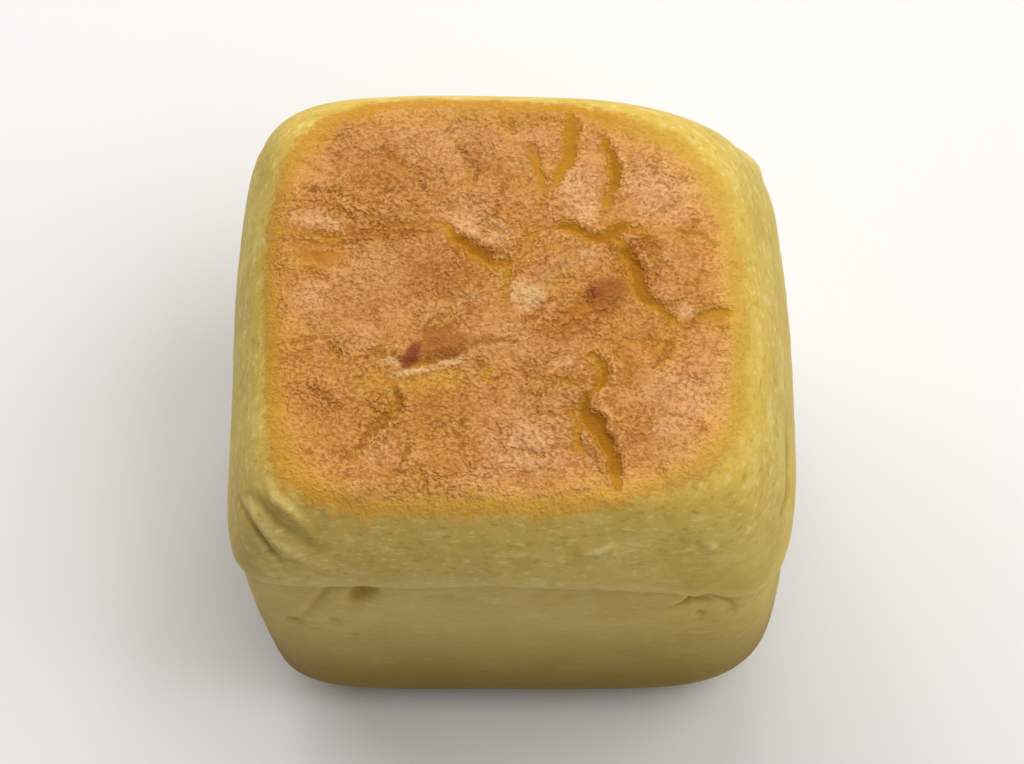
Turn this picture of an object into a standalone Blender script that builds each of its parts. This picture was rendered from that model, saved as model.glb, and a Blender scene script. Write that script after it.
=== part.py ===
"""A lemon cream cube bread: one soft square bun, baked in a lidded cube tin.

The bun is a single solid. Its crown is browned where the lid pressed it, and has
cracked and puckered as it cooled. A lip runs round the walls under the shoulder,
where the dough rose against the tin, and the shoulder is gathered into folds at
the corners. The base is the flat that it was baked on.

X runs to the right and Y to the back as the bun is seen from its front, Z is up,
and the origin is the middle of the flat base.
"""

import math
from typing import NamedTuple

import bmesh
import bpy
import numpy as np
from mathutils import Vector, noise

MM = 0.001

# Driving dimensions, in metres
WIDTH = 68.6 * MM
DEPTH = 67.6 * MM
HEIGHT = 58 * MM

# The profile from the crown's middle down to the base
CROWN_DOME = 0.9 * MM
SHOULDER_INSET = 7.4 * MM
SHOULDER_DROP = 16 * MM
HEEL_INSET = 8.6 * MM
HEEL_RISE = 12 * MM
BARREL = 1.9 * MM
WIDEST_HEIGHT = 31 * MM

# The base has settled a little to the right of the crown, and behind it
SETTLE_X = 3.0 * MM
SETTLE_Y = 1.2 * MM

# Squareness of the four corners seen from above: 2 is round, and 8 nearly square
FRONT_LEFT, FRONT_RIGHT = 11.5, 6.0
BACK_LEFT, BACK_RIGHT = 5.4, 3.1
CROWN_SQUARER = 0.16
BASE_ROUNDER = 0.22

# Share of its reach by which the middle of each wall bows out, and each corner draws in
WALL_BOW = 0.009

# Share of its height by which the bun has sunk at its back right corner
BACK_RIGHT_SINK = 0.038

# The browned patch on the crown
CRUST_HALF = 28 * MM
CRUST_SQUARENESS = 3.4
CRUST_FADE = (0.9, 1.08)

# Heights of the lip round the walls, against the bearing seen from above, in degrees from +X
LIP_BEARINGS = (-180, -150, -134, -130, -118, -103, -87, -71, -57, -47, -40, -20, 20, 60, 100, 140, 180)
LIP_HEIGHTS = (
    43.0, 46.5, 45.8, 44.4, 45.0, 45.6, 45.4, 44.3, 43.0, 39.6, 38.8, 42.6, 46.0, 44.5, 46.0, 43.5, 43.0
)
LIP_OUT = 0.55 * MM
LIP_UNDERCUT = 0.5 * MM
LIP_EDGE = 0.8 * MM
LIP_FADE_UP = 6 * MM
LIP_FADE_DOWN = 8 * MM
LIP_WANDER = 0.6 * MM
LIP_WANDER_LENGTH = 9 * MM
LIP_STRENGTH = 0.75
LIP_SWELL = 0.5
LIP_SWELL_LENGTH = 22 * MM


class Crack(NamedTuple):
    """A groove of the crown: its route, half width and depth, where it is widest, and its lips' height."""

    route: tuple
    half_width: float
    depth: float
    peak: float
    lips: float


class Swelling(NamedTuple):
    """A rise of the crown: its middle, half sizes along and across, turn in degrees, and height."""

    centre: tuple
    half_sizes: tuple
    turn: float
    height: float


class Fold(NamedTuple):
    """A fold of the walls: its route, half width and depth, and where it is deepest. Raised if below 0."""

    route: tuple
    half_width: float
    depth: float
    peak: float


# Cracks and wrinkles of the crown, drawn in millimetres from its middle
CROWN_CRACKS = {
    "long_crack": Crack(
        ((-9.4, 9.5), (-6.8, 7.8), (-4.7, 5.8), (-2.7, 4.6), (0.8, 4.4)),
        half_width=0.8, depth=1.35, peak=0.62, lips=0.35,
    ),
    "long_crack_tail": Crack(
        ((-21.1, 5.5), (-18.6, 8.5), (-13.8, 9.4), (-9.4, 9.5)),
        half_width=1.3, depth=0.45, peak=0.8, lips=0.1,
    ),
    "short_spur": Crack(
        ((-0.1, 3.6), (0.0, 1.7), (0.4, -0.6)),
        half_width=0.55, depth=0.5, peak=0.35, lips=0.1,
    ),
    "bridge": Crack(
        ((1.5, 5.2), (3.3, 6.2), (5.2, 7.0), (7.0, 7.9)),
        half_width=0.5, depth=0.55, peak=0.4, lips=0.15,
    ),
    "back_left_rift": Crack(
        ((3.6, 20.9), (3.6, 16.6), (4.2, 15.4), (4.5, 12.6), (6.1, 8.7)),
        half_width=0.7, depth=0.95, peak=0.4, lips=0.25,
    ),
    "back_middle_rift": Crack(
        ((7.6, 26.1), (7.7, 19.4), (6.0, 15.4), (5.5, 12.0), (6.1, 8.8)),
        half_width=0.85, depth=1.15, peak=0.38, lips=0.3,
    ),
    "back_right_rift": Crack(
        ((11.3, 24.0), (12.9, 18.9), (13.1, 16.3), (12.1, 11.4), (12.5, 8.9)),
        half_width=0.9, depth=1.3, peak=0.45, lips=0.35,
    ),
    "cross_crack": Crack(
        ((6.1, 8.7), (10.2, 7.2), (14.1, 8.9), (17.1, 7.9), (18.3, 5.8)),
        half_width=0.85, depth=1.2, peak=0.36, lips=0.3,
    ),
    "right_crack": Crack(
        ((12.1, 7.0), (14.1, 6.0), (16.1, 2.3), (16.6, -1.2), (18.9, -3.7), (22.0, -5.0)),
        half_width=1, depth=1.45, peak=0.45, lips=0.35,
    ),
    "right_edge_crack": Crack(
        ((20.7, -4.9), (22.8, -3.5), (24.1, -3.0), (26.6, -3.0)),
        half_width=0.75, depth=1, peak=0.7, lips=0.2,
    ),
    "fine_right_crack": Crack(
        ((21.1, 7.6), (22.2, 7.8), (23.8, 7.4), (25.4, 6.4)),
        half_width=0.4, depth=0.45, peak=0.4, lips=0.12,
    ),
    "right_dimple": Crack(
        ((19.0, -6.4), (18.3, -8.2), (17.8, -10.2)),
        half_width=1, depth=0.65, peak=0.45, lips=0.1,
    ),
    "hook": Crack(
        ((8.9, -8.8), (10.9, -9.5), (11.1, -11.0), (9.5, -13.8), (9.2, -16.7)),
        half_width=0.7, depth=0.95, peak=0.4, lips=0.3,
    ),
    "front_gash": Crack(
        ((9.2, -16.5), (10.8, -18.1), (12.3, -21.4), (12.8, -23.8), (12.4, -26.8)),
        half_width=1.25, depth=1.75, peak=0.42, lips=0.45,
    ),
    "front_gash_left": Crack(
        ((7.1, -14.3), (7.4, -16.4), (8.1, -18.9), (8.9, -22.2)),
        half_width=0.55, depth=0.85, peak=0.5, lips=0.25,
    ),
    "front_left_furrow": Crack(
        ((-12.8, -16.0), (-15.4, -18.1), (-16.7, -20.1), (-18.0, -21.4)),
        half_width=0.85, depth=0.6, peak=0.45, lips=0.15,
    ),
    "knot_slit": Crack(
        ((-12.6, -9.3), (-11.1, -10.4), (-8.7, -9.9), (-6.4, -9.0), (-4.2, -8.3)),
        half_width=0.5, depth=0.75, peak=0.35, lips=0.3,
    ),
    "middle_seam": Crack(
        ((-4.2, -8.1), (-2.2, -7.2), (1.6, -7.0), (5.5, -4.6), (9.5, -2.5)),
        half_width=0.6, depth=0.35, peak=0.35, lips=0.1,
    ),
}

# Swellings of the crown, where the filling has lifted the skin
CROWN_SWELLINGS = {
    "left_knot": Swelling(centre=(-8.1, -7.9), half_sizes=(4.6, 1.7), turn=9, height=0.75),
    "right_knot": Swelling(centre=(11.9, -0.6), half_sizes=(2.4, 2.1), turn=30, height=0.7),
    "rib_between_gashes": Swelling(centre=(10.4, -21.4), half_sizes=(4.6, 0.7), turn=-60, height=0.4),
}

# Folds of the walls, drawn by bearing in degrees from +X and height in millimetres
WALL_FOLDS = {
    "corner_valley": Fold(
        ((-142.0, 53.4), (-137.0, 53.9), (-132.3, 53.3), (-128.8, 52.4), (-123.6, 50.5), (-118.5, 49.3)),
        half_width=0.85, depth=1.1, peak=0.4,
    ),
    "corner_fold_upper": Fold(
        ((-138.0, 56.2), (-133.0, 55.2), (-129.0, 53.9), (-125.5, 52.3)),
        half_width=1, depth=-0.65, peak=0.45,
    ),
    "corner_fold_middle": Fold(
        ((-146.0, 50.6), (-140.0, 53.0), (-136.0, 52.9), (-132.3, 51.9), (-128.9, 50.3), (-124.0, 48.4)),
        half_width=0.95, depth=-0.8, peak=0.5,
    ),
    "corner_tuck": Fold(
        ((-143.0, 49.4), (-139.0, 50.9), (-134.5, 51.2), (-131.0, 50.2), (-127.0, 48.3)),
        half_width=0.7, depth=1, peak=0.45,
    ),
    "corner_fold_lower": Fold(
        ((-135.5, 49.5), (-133.0, 48.9), (-130.3, 47.2), (-127.3, 45.9)),
        half_width=0.6, depth=-0.45, peak=0.45,
    ),
    "left_pit": Fold(
        ((-119.6, 43.3), (-118.0, 42.5), (-116.6, 41.5)),
        half_width=1.3, depth=0.9, peak=0.5,
    ),
    "left_flap_edge": Fold(
        ((-120.3, 43.2), (-123.0, 42.3), (-125.0, 39.4), (-129.5, 32.8)),
        half_width=0.9, depth=0.45, peak=0.25,
    ),
    "right_arch": Fold(
        ((-59.8, 37.4), (-57.2, 39.2), (-54.6, 41.2), (-51.7, 39.0), (-48.9, 35.7)),
        half_width=0.75, depth=0.85, peak=0.5,
    ),
    "right_pit": Fold(
        ((-55.0, 36.4), (-54.2, 34.6)),
        half_width=0.8, depth=0.6, peak=0.5,
    ),
    "right_corner_crease": Fold(
        ((-48.4, 33.0), (-46.0, 34.2), (-43.4, 35.6), (-39.0, 39.6)),
        half_width=0.75, depth=0.9, peak=0.45,
    ),
    "right_corner_tuck": Fold(
        ((-40.0, 47.8), (-35.0, 46.2), (-28.0, 46.8), (-20.0, 48.4)),
        half_width=1.1, depth=0.95, peak=0.45,
    ),
    "right_wall_hollow": Fold(
        ((-33.0, 38.0), (-24.0, 35.4), (-14.0, 36.4)),
        half_width=2.2, depth=0.7, peak=0.45,
    ),
    "back_right_fold": Fold(
        ((38.0, 51.0), (44.0, 48.6), (52.0, 47.6), (60.0, 48.4)),
        half_width=1, depth=0.8, peak=0.45,
    ),
    "back_right_rise": Fold(
        ((35.0, 48.4), (42.0, 46.6), (50.0, 45.6)),
        half_width=0.9, depth=-0.5, peak=0.45,
    ),
    "back_left_fold": Fold(
        ((122.0, 49.6), (131.0, 47.2), (139.0, 47.8), (148.0, 50.6)),
        half_width=1, depth=0.8, peak=0.5,
    ),
    "back_left_pit": Fold(
        ((128.0, 41.6), (134.0, 40.2)),
        half_width=1.2, depth=0.6, peak=0.5,
    ),
    "left_wall_hollow": Fold(
        ((158.0, 38.0), (170.0, 35.6), (182.0, 37.0)),
        half_width=2.4, depth=0.6, peak=0.5,
    ),
}

# Heights over which the relief of the crown and of the walls fades
CROWN_FADE = (HEIGHT - 7 * MM, HEIGHT - 2.5 * MM)
WALL_FADE = (HEIGHT - 4 * MM, HEIGHT - 1 * MM)
BASE_FADE = (0.5 * MM, 6 * MM)

# Slow swelling and hollowing of the whole bun, and puckers of the crust
WALL_WAVE = 0.42 * MM
WALL_WAVE_LENGTH = 19 * MM
PUCKER = 0.42 * MM
PUCKER_LENGTH = 6.5 * MM
CRACK_WANDER = 0.45 * MM
CRACK_WANDER_LENGTH = 3.0 * MM
FOLD_WANDER = 0.3 * MM
FOLD_WANDER_LENGTH = 5.0 * MM

# Of a crack or fold: its half width at its ends, as a share of that at its peak, how many half widths
# from its middle its lips stand, and how many away it leaves no trace
CRACK_TIP = 0.35
FOLD_TIP = 0.4
LIPS_AWAY = 1.9
TRACE_ENDS = 4

# The mesh is made fine, then thinned to the faces that its relief needs
CROWN_CELLS = 128
CROWN_REACH = 30.5 * MM
WALL_RINGS = 96
TRIANGLES = 9000
BASE_CUT = 0.15 * MM

CRUMB_COLOUR = (0.72, 0.50, 0.13, 1.0)
CRUMB_ROUGHNESS = 0.62


def smooth_step(low, high, value):
    """0 below low, 1 above high, and a smooth rise between."""
    share = np.clip((value - low) / (high - low), 0, 1)
    return share * share * (3 - 2 * share)


def profile_line():
    """The bun's side view from the crown's middle to the base's edge: half widths and heights."""
    turn = np.linspace(0, math.pi / 2, 40)
    shoulder = np.stack([SHOULDER_INSET * (1 - np.sin(turn)), HEIGHT - SHOULDER_DROP * (1 - np.cos(turn))], 1)
    heel = np.stack([HEEL_INSET * (1 - np.cos(turn)), HEEL_RISE * (1 - np.sin(turn))], 1)
    inset, height = np.concatenate([shoulder, heel]).T
    half = WIDTH / 2 - inset - BARREL * ((height - WIDEST_HEIGHT) / (HEIGHT / 2)) ** 2
    crown = np.linspace(0, 1, 20)[:-1]
    rise = CROWN_DOME * (1 - crown**2)
    half = np.concatenate([crown * half[0], half])
    height = np.concatenate([HEIGHT - CROWN_DOME + rise, height - CROWN_DOME * (height / HEIGHT)])
    steps = np.hypot(np.diff(half), np.diff(height))
    return np.concatenate([[0], np.cumsum(steps)]), half, height


def squareness(bearing, height):
    """The exponent of the bun's outline at a height, which changes from corner to corner."""
    right = (1 + np.cos(bearing)) / 2
    back = (1 + np.sin(bearing)) / 2
    front_side = FRONT_LEFT * (1 - right) + FRONT_RIGHT * right
    back_side = BACK_LEFT * (1 - right) + BACK_RIGHT * right
    crown = CROWN_SQUARER * smooth_step(0.6 * HEIGHT, HEIGHT, height)
    base = BASE_ROUNDER * smooth_step(-0.5 * HEIGHT, 0, -height)
    return (front_side * (1 - back) + back_side * back) * (1 + crown - base)


def outline_points(bearing, half, height):
    """Points of the smooth bun at these bearings, half widths and heights."""
    power = squareness(bearing, height)
    cos, sin = np.cos(bearing), np.sin(bearing)
    reach = half / (np.abs(cos) ** power + np.abs(sin) ** power) ** (1 / power)
    reach = reach * (1 + WALL_BOW * np.cos(4 * bearing))
    drop = 1 - height / HEIGHT
    x, y = reach * cos, reach * sin * DEPTH / WIDTH
    sink = BACK_RIGHT_SINK * smooth_step(-WIDTH / 6, WIDTH / 2, x) * smooth_step(0, DEPTH / 2, y)
    return np.stack([x + SETTLE_X * drop, y + SETTLE_Y * drop, height * (1 - sink)], 1)


def on_crown(route):
    """A route drawn on the crown in millimetres, as points of the smooth bun."""
    flat = np.array(route, float) * MM
    return np.column_stack([flat, np.full(len(flat), HEIGHT)])


def on_wall(route):
    """A route of bearings and heights, as points of the smooth bun."""
    _, half, height = profile_line()
    bearing, up = np.radians([p[0] for p in route]), np.array([p[1] for p in route]) * MM
    rows = np.argsort(height)
    return outline_points(bearing, np.interp(up, height[rows], half[rows]), up)


def curve_through(points, steps=6):
    """A smooth curve through the points of a route, as a finer route."""
    ends = np.vstack([2 * points[0] - points[1], points, 2 * points[-1] - points[-2]])
    made = []
    for i in range(1, len(ends) - 2):
        before, start, end, after = ends[i - 1 : i + 3]
        for t in np.arange(steps) / steps:
            made.append(
                0.5
                * (
                    2 * start
                    + (end - before) * t
                    + (2 * before - 5 * start + 4 * end - after) * t**2
                    + (3 * start - before - 3 * end + after) * t**3
                )
            )
    return np.array([*made, points[-1]])


def measure_from(route, places):
    """Each place's distance from a route, and how far along the route it is, from 0 to 1."""
    line = curve_through(route)
    runs = np.diff(line, axis=0)
    lengths = np.linalg.norm(runs, axis=1)
    before = np.concatenate([[0], np.cumsum(lengths)])
    nearest = np.full(len(places), np.inf)
    along = np.zeros(len(places))
    for start, run, length, so_far in zip(line, runs, lengths, before):
        share = np.clip((places - start) @ run / length**2, 0, 1)
        away = np.linalg.norm(places - start - share[:, None] * run, axis=1)
        closer = away < nearest
        nearest[closer] = away[closer]
        along[closer] = ((so_far + share * length) / before[-1])[closer]
    return nearest, along


def places_near(route, margin, places):
    """Which places lie in a route's box with this margin round it."""
    return ((places > route.min(0) - margin) & (places < route.max(0) + margin)).all(1)


def swell_along(along, peak):
    """A share that rises from 0 at a route's start to 1 at its peak and falls to 0 at its end."""
    warped = along ** (math.log(0.5) / math.log(peak))
    return np.sin(math.pi * np.clip(warped, 0, 1)) ** 0.6


def wander(places, size, length, seed):
    """A smooth vector noise at each place, of this size and wave length."""
    shift = Vector((seed * 7.3, seed * 3.1, seed * 5.7))
    return size * np.array([noise.noise_vector(Vector(p) / length + shift) for p in places])


def wave(places, length, seed):
    """A smooth noise at each place, from about -1 to 1."""
    shift = Vector((seed * 7.3, seed * 3.1, seed * 5.7))
    return np.array([noise.noise(Vector(p) / length + shift) for p in places])


def crown_relief(places):
    """Height of the crown's cracks, swellings and puckers above the smooth bun."""
    top = smooth_step(*CROWN_FADE, places[:, 2])
    edge = (np.abs(places[:, :2] / CRUST_HALF) ** CRUST_SQUARENESS).sum(1) ** (1 / CRUST_SQUARENESS)
    inside = 1 - smooth_step(*CRUST_FADE, edge)
    flat = places.copy()
    flat[:, 2] = HEIGHT
    strayed = flat + wander(flat, CRACK_WANDER, CRACK_WANDER_LENGTH, 1) * (1, 1, 0)
    relief = PUCKER * wave(flat, PUCKER_LENGTH, 2) * inside
    for crack in CROWN_CRACKS.values():
        route = on_crown(crack.route)
        near = places_near(route, TRACE_ENDS * crack.half_width * MM, strayed)
        away, along = measure_from(route, strayed[near])
        share = swell_along(along, crack.peak)
        spread = crack.half_width * MM * (CRACK_TIP + (1 - CRACK_TIP) * share)
        lips = crack.lips * np.exp(-((away / spread - LIPS_AWAY) ** 2))
        relief[near] += MM * share * (lips - crack.depth * np.exp(-((away / spread) ** 2)))
    for swelling in CROWN_SWELLINGS.values():
        angle = math.radians(swelling.turn)
        from_centre = strayed[:, :2] - np.array(swelling.centre) * MM
        along = from_centre @ (math.cos(angle), math.sin(angle)) / (swelling.half_sizes[0] * MM)
        across = from_centre @ (-math.sin(angle), math.cos(angle)) / (swelling.half_sizes[1] * MM)
        relief += swelling.height * MM * np.exp(-((along**2 + across**2) ** 1.5))
    return relief * top


def wall_relief(places):
    """Height of the lip, folds, pits and slow waves of the walls above the smooth bun."""
    bearing = np.degrees(np.arctan2(places[:, 1], places[:, 0]))
    standing = smooth_step(*BASE_FADE, places[:, 2])
    below_crown = 1 - smooth_step(*WALL_FADE, places[:, 2])
    from_lip = places[:, 2] - np.interp(bearing, LIP_BEARINGS, LIP_HEIGHTS) * MM
    from_lip = from_lip + LIP_WANDER * wave(places, LIP_WANDER_LENGTH, 3)
    above = smooth_step(-LIP_EDGE, LIP_EDGE, from_lip)
    strength = LIP_STRENGTH + LIP_SWELL * wave(places, LIP_SWELL_LENGTH, 4)
    lip = above * LIP_OUT * np.exp(-((from_lip / LIP_FADE_UP) ** 2))
    lip -= (1 - above) * LIP_UNDERCUT * np.exp(-((from_lip / LIP_FADE_DOWN) ** 2))
    relief = lip * strength + WALL_WAVE * wave(places, WALL_WAVE_LENGTH, 5)
    strayed = places + wander(places, FOLD_WANDER, FOLD_WANDER_LENGTH, 6)
    for fold in WALL_FOLDS.values():
        route = on_wall(fold.route)
        near = places_near(route, TRACE_ENDS * fold.half_width * MM, strayed)
        away, along = measure_from(route, strayed[near])
        share = swell_along(along, fold.peak)
        spread = fold.half_width * MM * (FOLD_TIP + (1 - FOLD_TIP) * share)
        relief[near] -= fold.depth * MM * share * np.exp(-((away / spread) ** 2))
    return relief * standing * below_crown


def fine_bun():
    """The bun as a fine mesh: a square grid for the crown, drawn down in rings to the base."""
    bun = bmesh.new()
    bmesh.ops.create_grid(bun, x_segments=CROWN_CELLS, y_segments=CROWN_CELLS, size=1)
    level = bun.verts.layers.float.new("level")
    rim = [edge for edge in bun.edges if edge.is_boundary]
    for ring in range(1, WALL_RINGS + 1):
        drawn = bmesh.ops.extrude_edge_only(bun, edges=rim)["geom"]
        rim = [part for part in drawn if isinstance(part, bmesh.types.BMEdge)]
        for part in drawn:
            if isinstance(part, bmesh.types.BMVert):
                part[level] = ring / WALL_RINGS
    bmesh.ops.contextual_create(bun, geom=rim)
    place_bun(bun, level)
    bmesh.ops.recalc_face_normals(bun, faces=bun.faces)
    return bun


def place_bun(bun, level):
    """Moves the vertices of the unit grid and its rings onto the bun, then raises the relief."""
    grid = np.array([vert.co[:2] for vert in bun.verts])
    levels = np.array([vert[level] for vert in bun.verts])
    out = np.abs(grid).max(1)
    bearing = np.arctan2(grid[:, 1], grid[:, 0])
    lengths, half, height = profile_line()
    reach = np.where(levels > 0, CROWN_REACH + levels * (lengths[-1] - CROWN_REACH), out * CROWN_REACH)
    smooth = outline_points(bearing, np.interp(reach, lengths, half), np.interp(reach, lengths, height))
    set_places(bun, smooth)
    relief = crown_relief(smooth) + wall_relief(smooth)
    normals = np.array([vert.normal for vert in bun.verts])
    normals[smooth[:, 2] < BASE_CUT] = 0
    set_places(bun, smooth + normals * relief[:, None])


def set_places(bun, places):
    """Puts each vertex of the mesh at its place, and works out the normals there."""
    for vert, place in zip(bun.verts, places):
        vert.co = place
    bun.normal_update()


def thinned(bun):
    """The bun with only the faces that its relief needs."""
    mesh = bpy.data.meshes.new("fine_bun")
    bun.to_mesh(mesh)
    bun.free()
    fine = bpy.data.objects.new("fine_bun", mesh)
    bpy.context.scene.collection.objects.link(fine)
    triangles = sum(len(face.vertices) - 2 for face in mesh.polygons)
    thin = fine.modifiers.new("thin", "DECIMATE")
    thin.ratio = TRIANGLES / triangles
    thin.use_collapse_triangulate = True
    shown = fine.evaluated_get(bpy.context.evaluated_depsgraph_get())
    made = bmesh.new()
    made.from_mesh(shown.data)
    bpy.data.objects.remove(fine)
    return made


def trim_base(bun):
    """Cuts the base off flat just above its lowest point, and centres the bun over the origin."""
    everything = [*bun.verts, *bun.edges, *bun.faces]
    cut = bmesh.ops.bisect_plane(
        bun, geom=everything, plane_co=(0, 0, BASE_CUT), plane_no=(0, 0, 1), clear_inner=True
    )
    rim = [part for part in cut["geom_cut"] if isinstance(part, bmesh.types.BMEdge)]
    bmesh.ops.contextual_create(bun, geom=rim)
    places = np.array([vert.co for vert in bun.verts])
    middle = (places.min(0) + places.max(0)) / 2
    bmesh.ops.translate(bun, verts=bun.verts, vec=(-middle[0], -middle[1], -BASE_CUT))
    bmesh.ops.recalc_face_normals(bun, faces=bun.faces)


def crumb_material():
    """The bun's pale lemon crumb, as one plain finish."""
    material = bpy.data.materials.new("lemon_bread")
    material.use_nodes = True
    surface = material.node_tree.nodes["Principled BSDF"]
    surface.inputs["Base Color"].default_value = CRUMB_COLOUR
    surface.inputs["Roughness"].default_value = CRUMB_ROUGHNESS
    surface.inputs["Metallic"].default_value = 0.0
    return material


def main():
    for obj in list(bpy.data.objects):
        bpy.data.objects.remove(obj)
    bun = thinned(fine_bun())
    trim_base(bun)
    mesh = bpy.data.meshes.new("cube_bread")
    bun.to_mesh(mesh)
    bun.free()
    mesh.materials.append(crumb_material())
    mesh.shade_smooth()
    bread = bpy.data.objects.new("cube_bread", mesh)
    bpy.context.scene.collection.objects.link(bread)


main()
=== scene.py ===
"""A lemon cream cube bread, finished as a visual model in a plain studio.

The bun is one piece: a soft cube baked in a lidded tin. Its crown is browned and finely
crinkled where the lid pressed it, and has cracked down to smooth ochre skin as it cooled.
An amber band runs round the crust, and the shoulder, walls and folds are pale lemon skin.
Lengths are in metres, +X is to the right, +Y to the back and +Z up.
"""

from __future__ import annotations

import logging
import math
from collections.abc import Iterable, Sequence
from dataclasses import dataclass, field
from enum import Enum

import bmesh
import bpy
import numpy as np
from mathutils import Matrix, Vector, noise


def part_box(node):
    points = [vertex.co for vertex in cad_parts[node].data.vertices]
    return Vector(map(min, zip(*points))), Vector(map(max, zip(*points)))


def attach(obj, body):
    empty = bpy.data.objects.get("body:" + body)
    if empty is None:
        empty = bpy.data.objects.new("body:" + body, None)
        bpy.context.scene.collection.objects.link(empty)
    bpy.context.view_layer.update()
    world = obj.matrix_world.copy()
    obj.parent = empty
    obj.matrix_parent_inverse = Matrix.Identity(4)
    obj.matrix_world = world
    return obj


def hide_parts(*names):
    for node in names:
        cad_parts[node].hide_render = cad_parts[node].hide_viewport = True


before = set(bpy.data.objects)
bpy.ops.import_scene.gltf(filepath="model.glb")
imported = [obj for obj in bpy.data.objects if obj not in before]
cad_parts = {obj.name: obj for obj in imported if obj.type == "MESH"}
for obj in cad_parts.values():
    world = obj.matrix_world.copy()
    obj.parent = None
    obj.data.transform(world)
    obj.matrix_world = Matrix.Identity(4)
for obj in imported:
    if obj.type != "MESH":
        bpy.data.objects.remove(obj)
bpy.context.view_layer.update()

MM = 0.001
IMAGE_WIDTH = 1024
SENSOR_WIDTH = 36.0
NOISE_STRIDE = (7.3, 3.1, 5.7)
WANDER_OFFSETS = ((0.0, 0.0, 0.0), (19.1, 33.4, 47.2), (52.3, 26.8, 74.6))
SWELL_FULLNESS = 0.6
PATCH_EDGE = 1.5

log = logging.getLogger("lemon_cube_bread")

Pair = tuple[float, float]
Points = Sequence[Pair]
Clouds = tuple[float, float, float]


class Mark(Enum):
    """What is noted at each vertex of the bun, for its finish to read."""

    INSIDE_RIM = "inside_rim"
    CRACK_EDGE = "crack_edge"
    CRACK_DEPTH = "crack_depth"
    CRACK_LIP = "crack_lip"
    CRACK_SIDE = "crack_side"
    SMOOTH_SKIN = "smooth_skin"
    KNOT = "knot"
    KNOT_END = "knot_end"
    CREAM = "cream"
    PALE = "pale"
    BROWN = "brown"
    OCHRE = "ochre"
    SEAM = "seam"
    LIP_LINE = "lip_line"
    # The fold crests and valleys; the finish paints highlight on the crests and shade in the valleys.
    FOLD_CREST = "fold_crest"
    FOLD_VALLEY = "fold_valley"
    CRINKLE = "crinkle"


class Noise(Enum):
    """Which noise is read, so that each keeps to its own place."""

    CRACK_WANDER = 1
    PUCKER = 2
    LIP_WANDER = 3
    LIP_SWELL = 4
    WALL_WAVE = 5
    FOLD_WANDER = 6
    CRACK_UNEVEN = 8
    DIMPLE = 9
    CRINKLE_WARP = 11
    CRINKLE = 12
    LOW_WRINKLE = 14
    SKIN_RIPPLE = 15
    CREST_LUMPS = 16
    SEAM_WARP = 17
    SEAM = 18
    SEAM_BREAKS = 19

    def shift(self) -> Vector:
        """Where this noise is read, away from the others."""
        return Vector([self.value * stride for stride in NOISE_STRIDE])


def smooth_step(low: float | np.ndarray, high: float | np.ndarray, value: np.ndarray) -> np.ndarray:
    """A share that is 0 below a low limit, 1 above a high one, and rises smoothly between.

    Args:
        low: Where the rise starts, for all or for each.
        high: Where the rise ends.
        value: The values to turn into shares.

    Returns:
        The share of each value.
    """
    share = np.clip((value - low) / (high - low), 0, 1)
    return share * share * (3 - 2 * share)


def wander(places: np.ndarray, size: float, length: float, which: Noise) -> np.ndarray:
    """A smooth noise of vectors.

    Args:
        places: Where it is wanted.
        size: Its reach.
        length: Its wave length.
        which: Which noise it is.

    Returns:
        A vector for each place.
    """
    shifts = [which.shift() + Vector(offset) for offset in WANDER_OFFSETS]
    return size * np.array([[noise.noise(Vector(p) / length + shift) for shift in shifts] for p in places])


def wave(places: np.ndarray, length: float, which: Noise) -> np.ndarray:
    """A smooth noise of numbers, from about -1 to 1.

    Args:
        places: Where it is wanted.
        length: Its wave length.
        which: Which noise it is.

    Returns:
        A number for each place.
    """
    shift = which.shift()
    return np.array([noise.noise(Vector(p) / length + shift) for p in places])


@dataclass(frozen=True)
class Route:
    """A smooth curve over the bun, through a few points of it."""

    points: np.ndarray
    steps: int = 6

    def curve(self) -> np.ndarray:
        """Draws the finer line through the route's points.

        Returns:
            The line's points, one row each.
        """
        points = self.points
        ends = np.vstack([2 * points[0] - points[1], points, 2 * points[-1] - points[-2]])
        made = []
        for i in range(1, len(ends) - 2):
            before, start, end, after = ends[i - 1 : i + 3]
            for t in np.arange(self.steps) / self.steps:
                bend = (2 * before - 5 * start + 4 * end - after) * t**2
                twist = (3 * start - before - 3 * end + after) * t**3
                made.append(0.5 * (2 * start + (end - before) * t + bend + twist))
        return np.array([*made, points[-1]])

    def near(self, margin: float, places: np.ndarray) -> np.ndarray:
        """Which places lie in the route's box with a margin round it.

        Args:
            margin: How far beyond the box still counts.
            places: The places to sort.

        Returns:
            True for each place that lies there.
        """
        low, high = self.points.min(0) - margin, self.points.max(0) + margin
        return ((places > low) & (places < high)).all(1)

    def measure(self, places: np.ndarray) -> tuple[np.ndarray, np.ndarray]:
        """How each place lies from the route, and how far along it.

        Args:
            places: The places to measure.

        Returns:
            The steps from the route to the places, and the shares of the route's length from 0 to 1.
        """
        line = self.curve()
        runs = np.diff(line, axis=0)
        lengths = np.linalg.norm(runs, axis=1)
        before = np.concatenate([[0], np.cumsum(lengths)])
        nearest = np.full(len(places), np.inf)
        along = np.zeros(len(places))
        steps = np.zeros(places.shape)
        for start, run, length, so_far in zip(line, runs, lengths, before):
            share = np.clip((places - start) @ run / length**2, 0, 1)
            step = places - start - share[:, None] * run
            away = np.linalg.norm(step, axis=1)
            closer = away < nearest
            nearest[closer], steps[closer] = away[closer], step[closer]
            along[closer] = ((so_far + share * length) / before[-1])[closer]
        return steps, along


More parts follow.
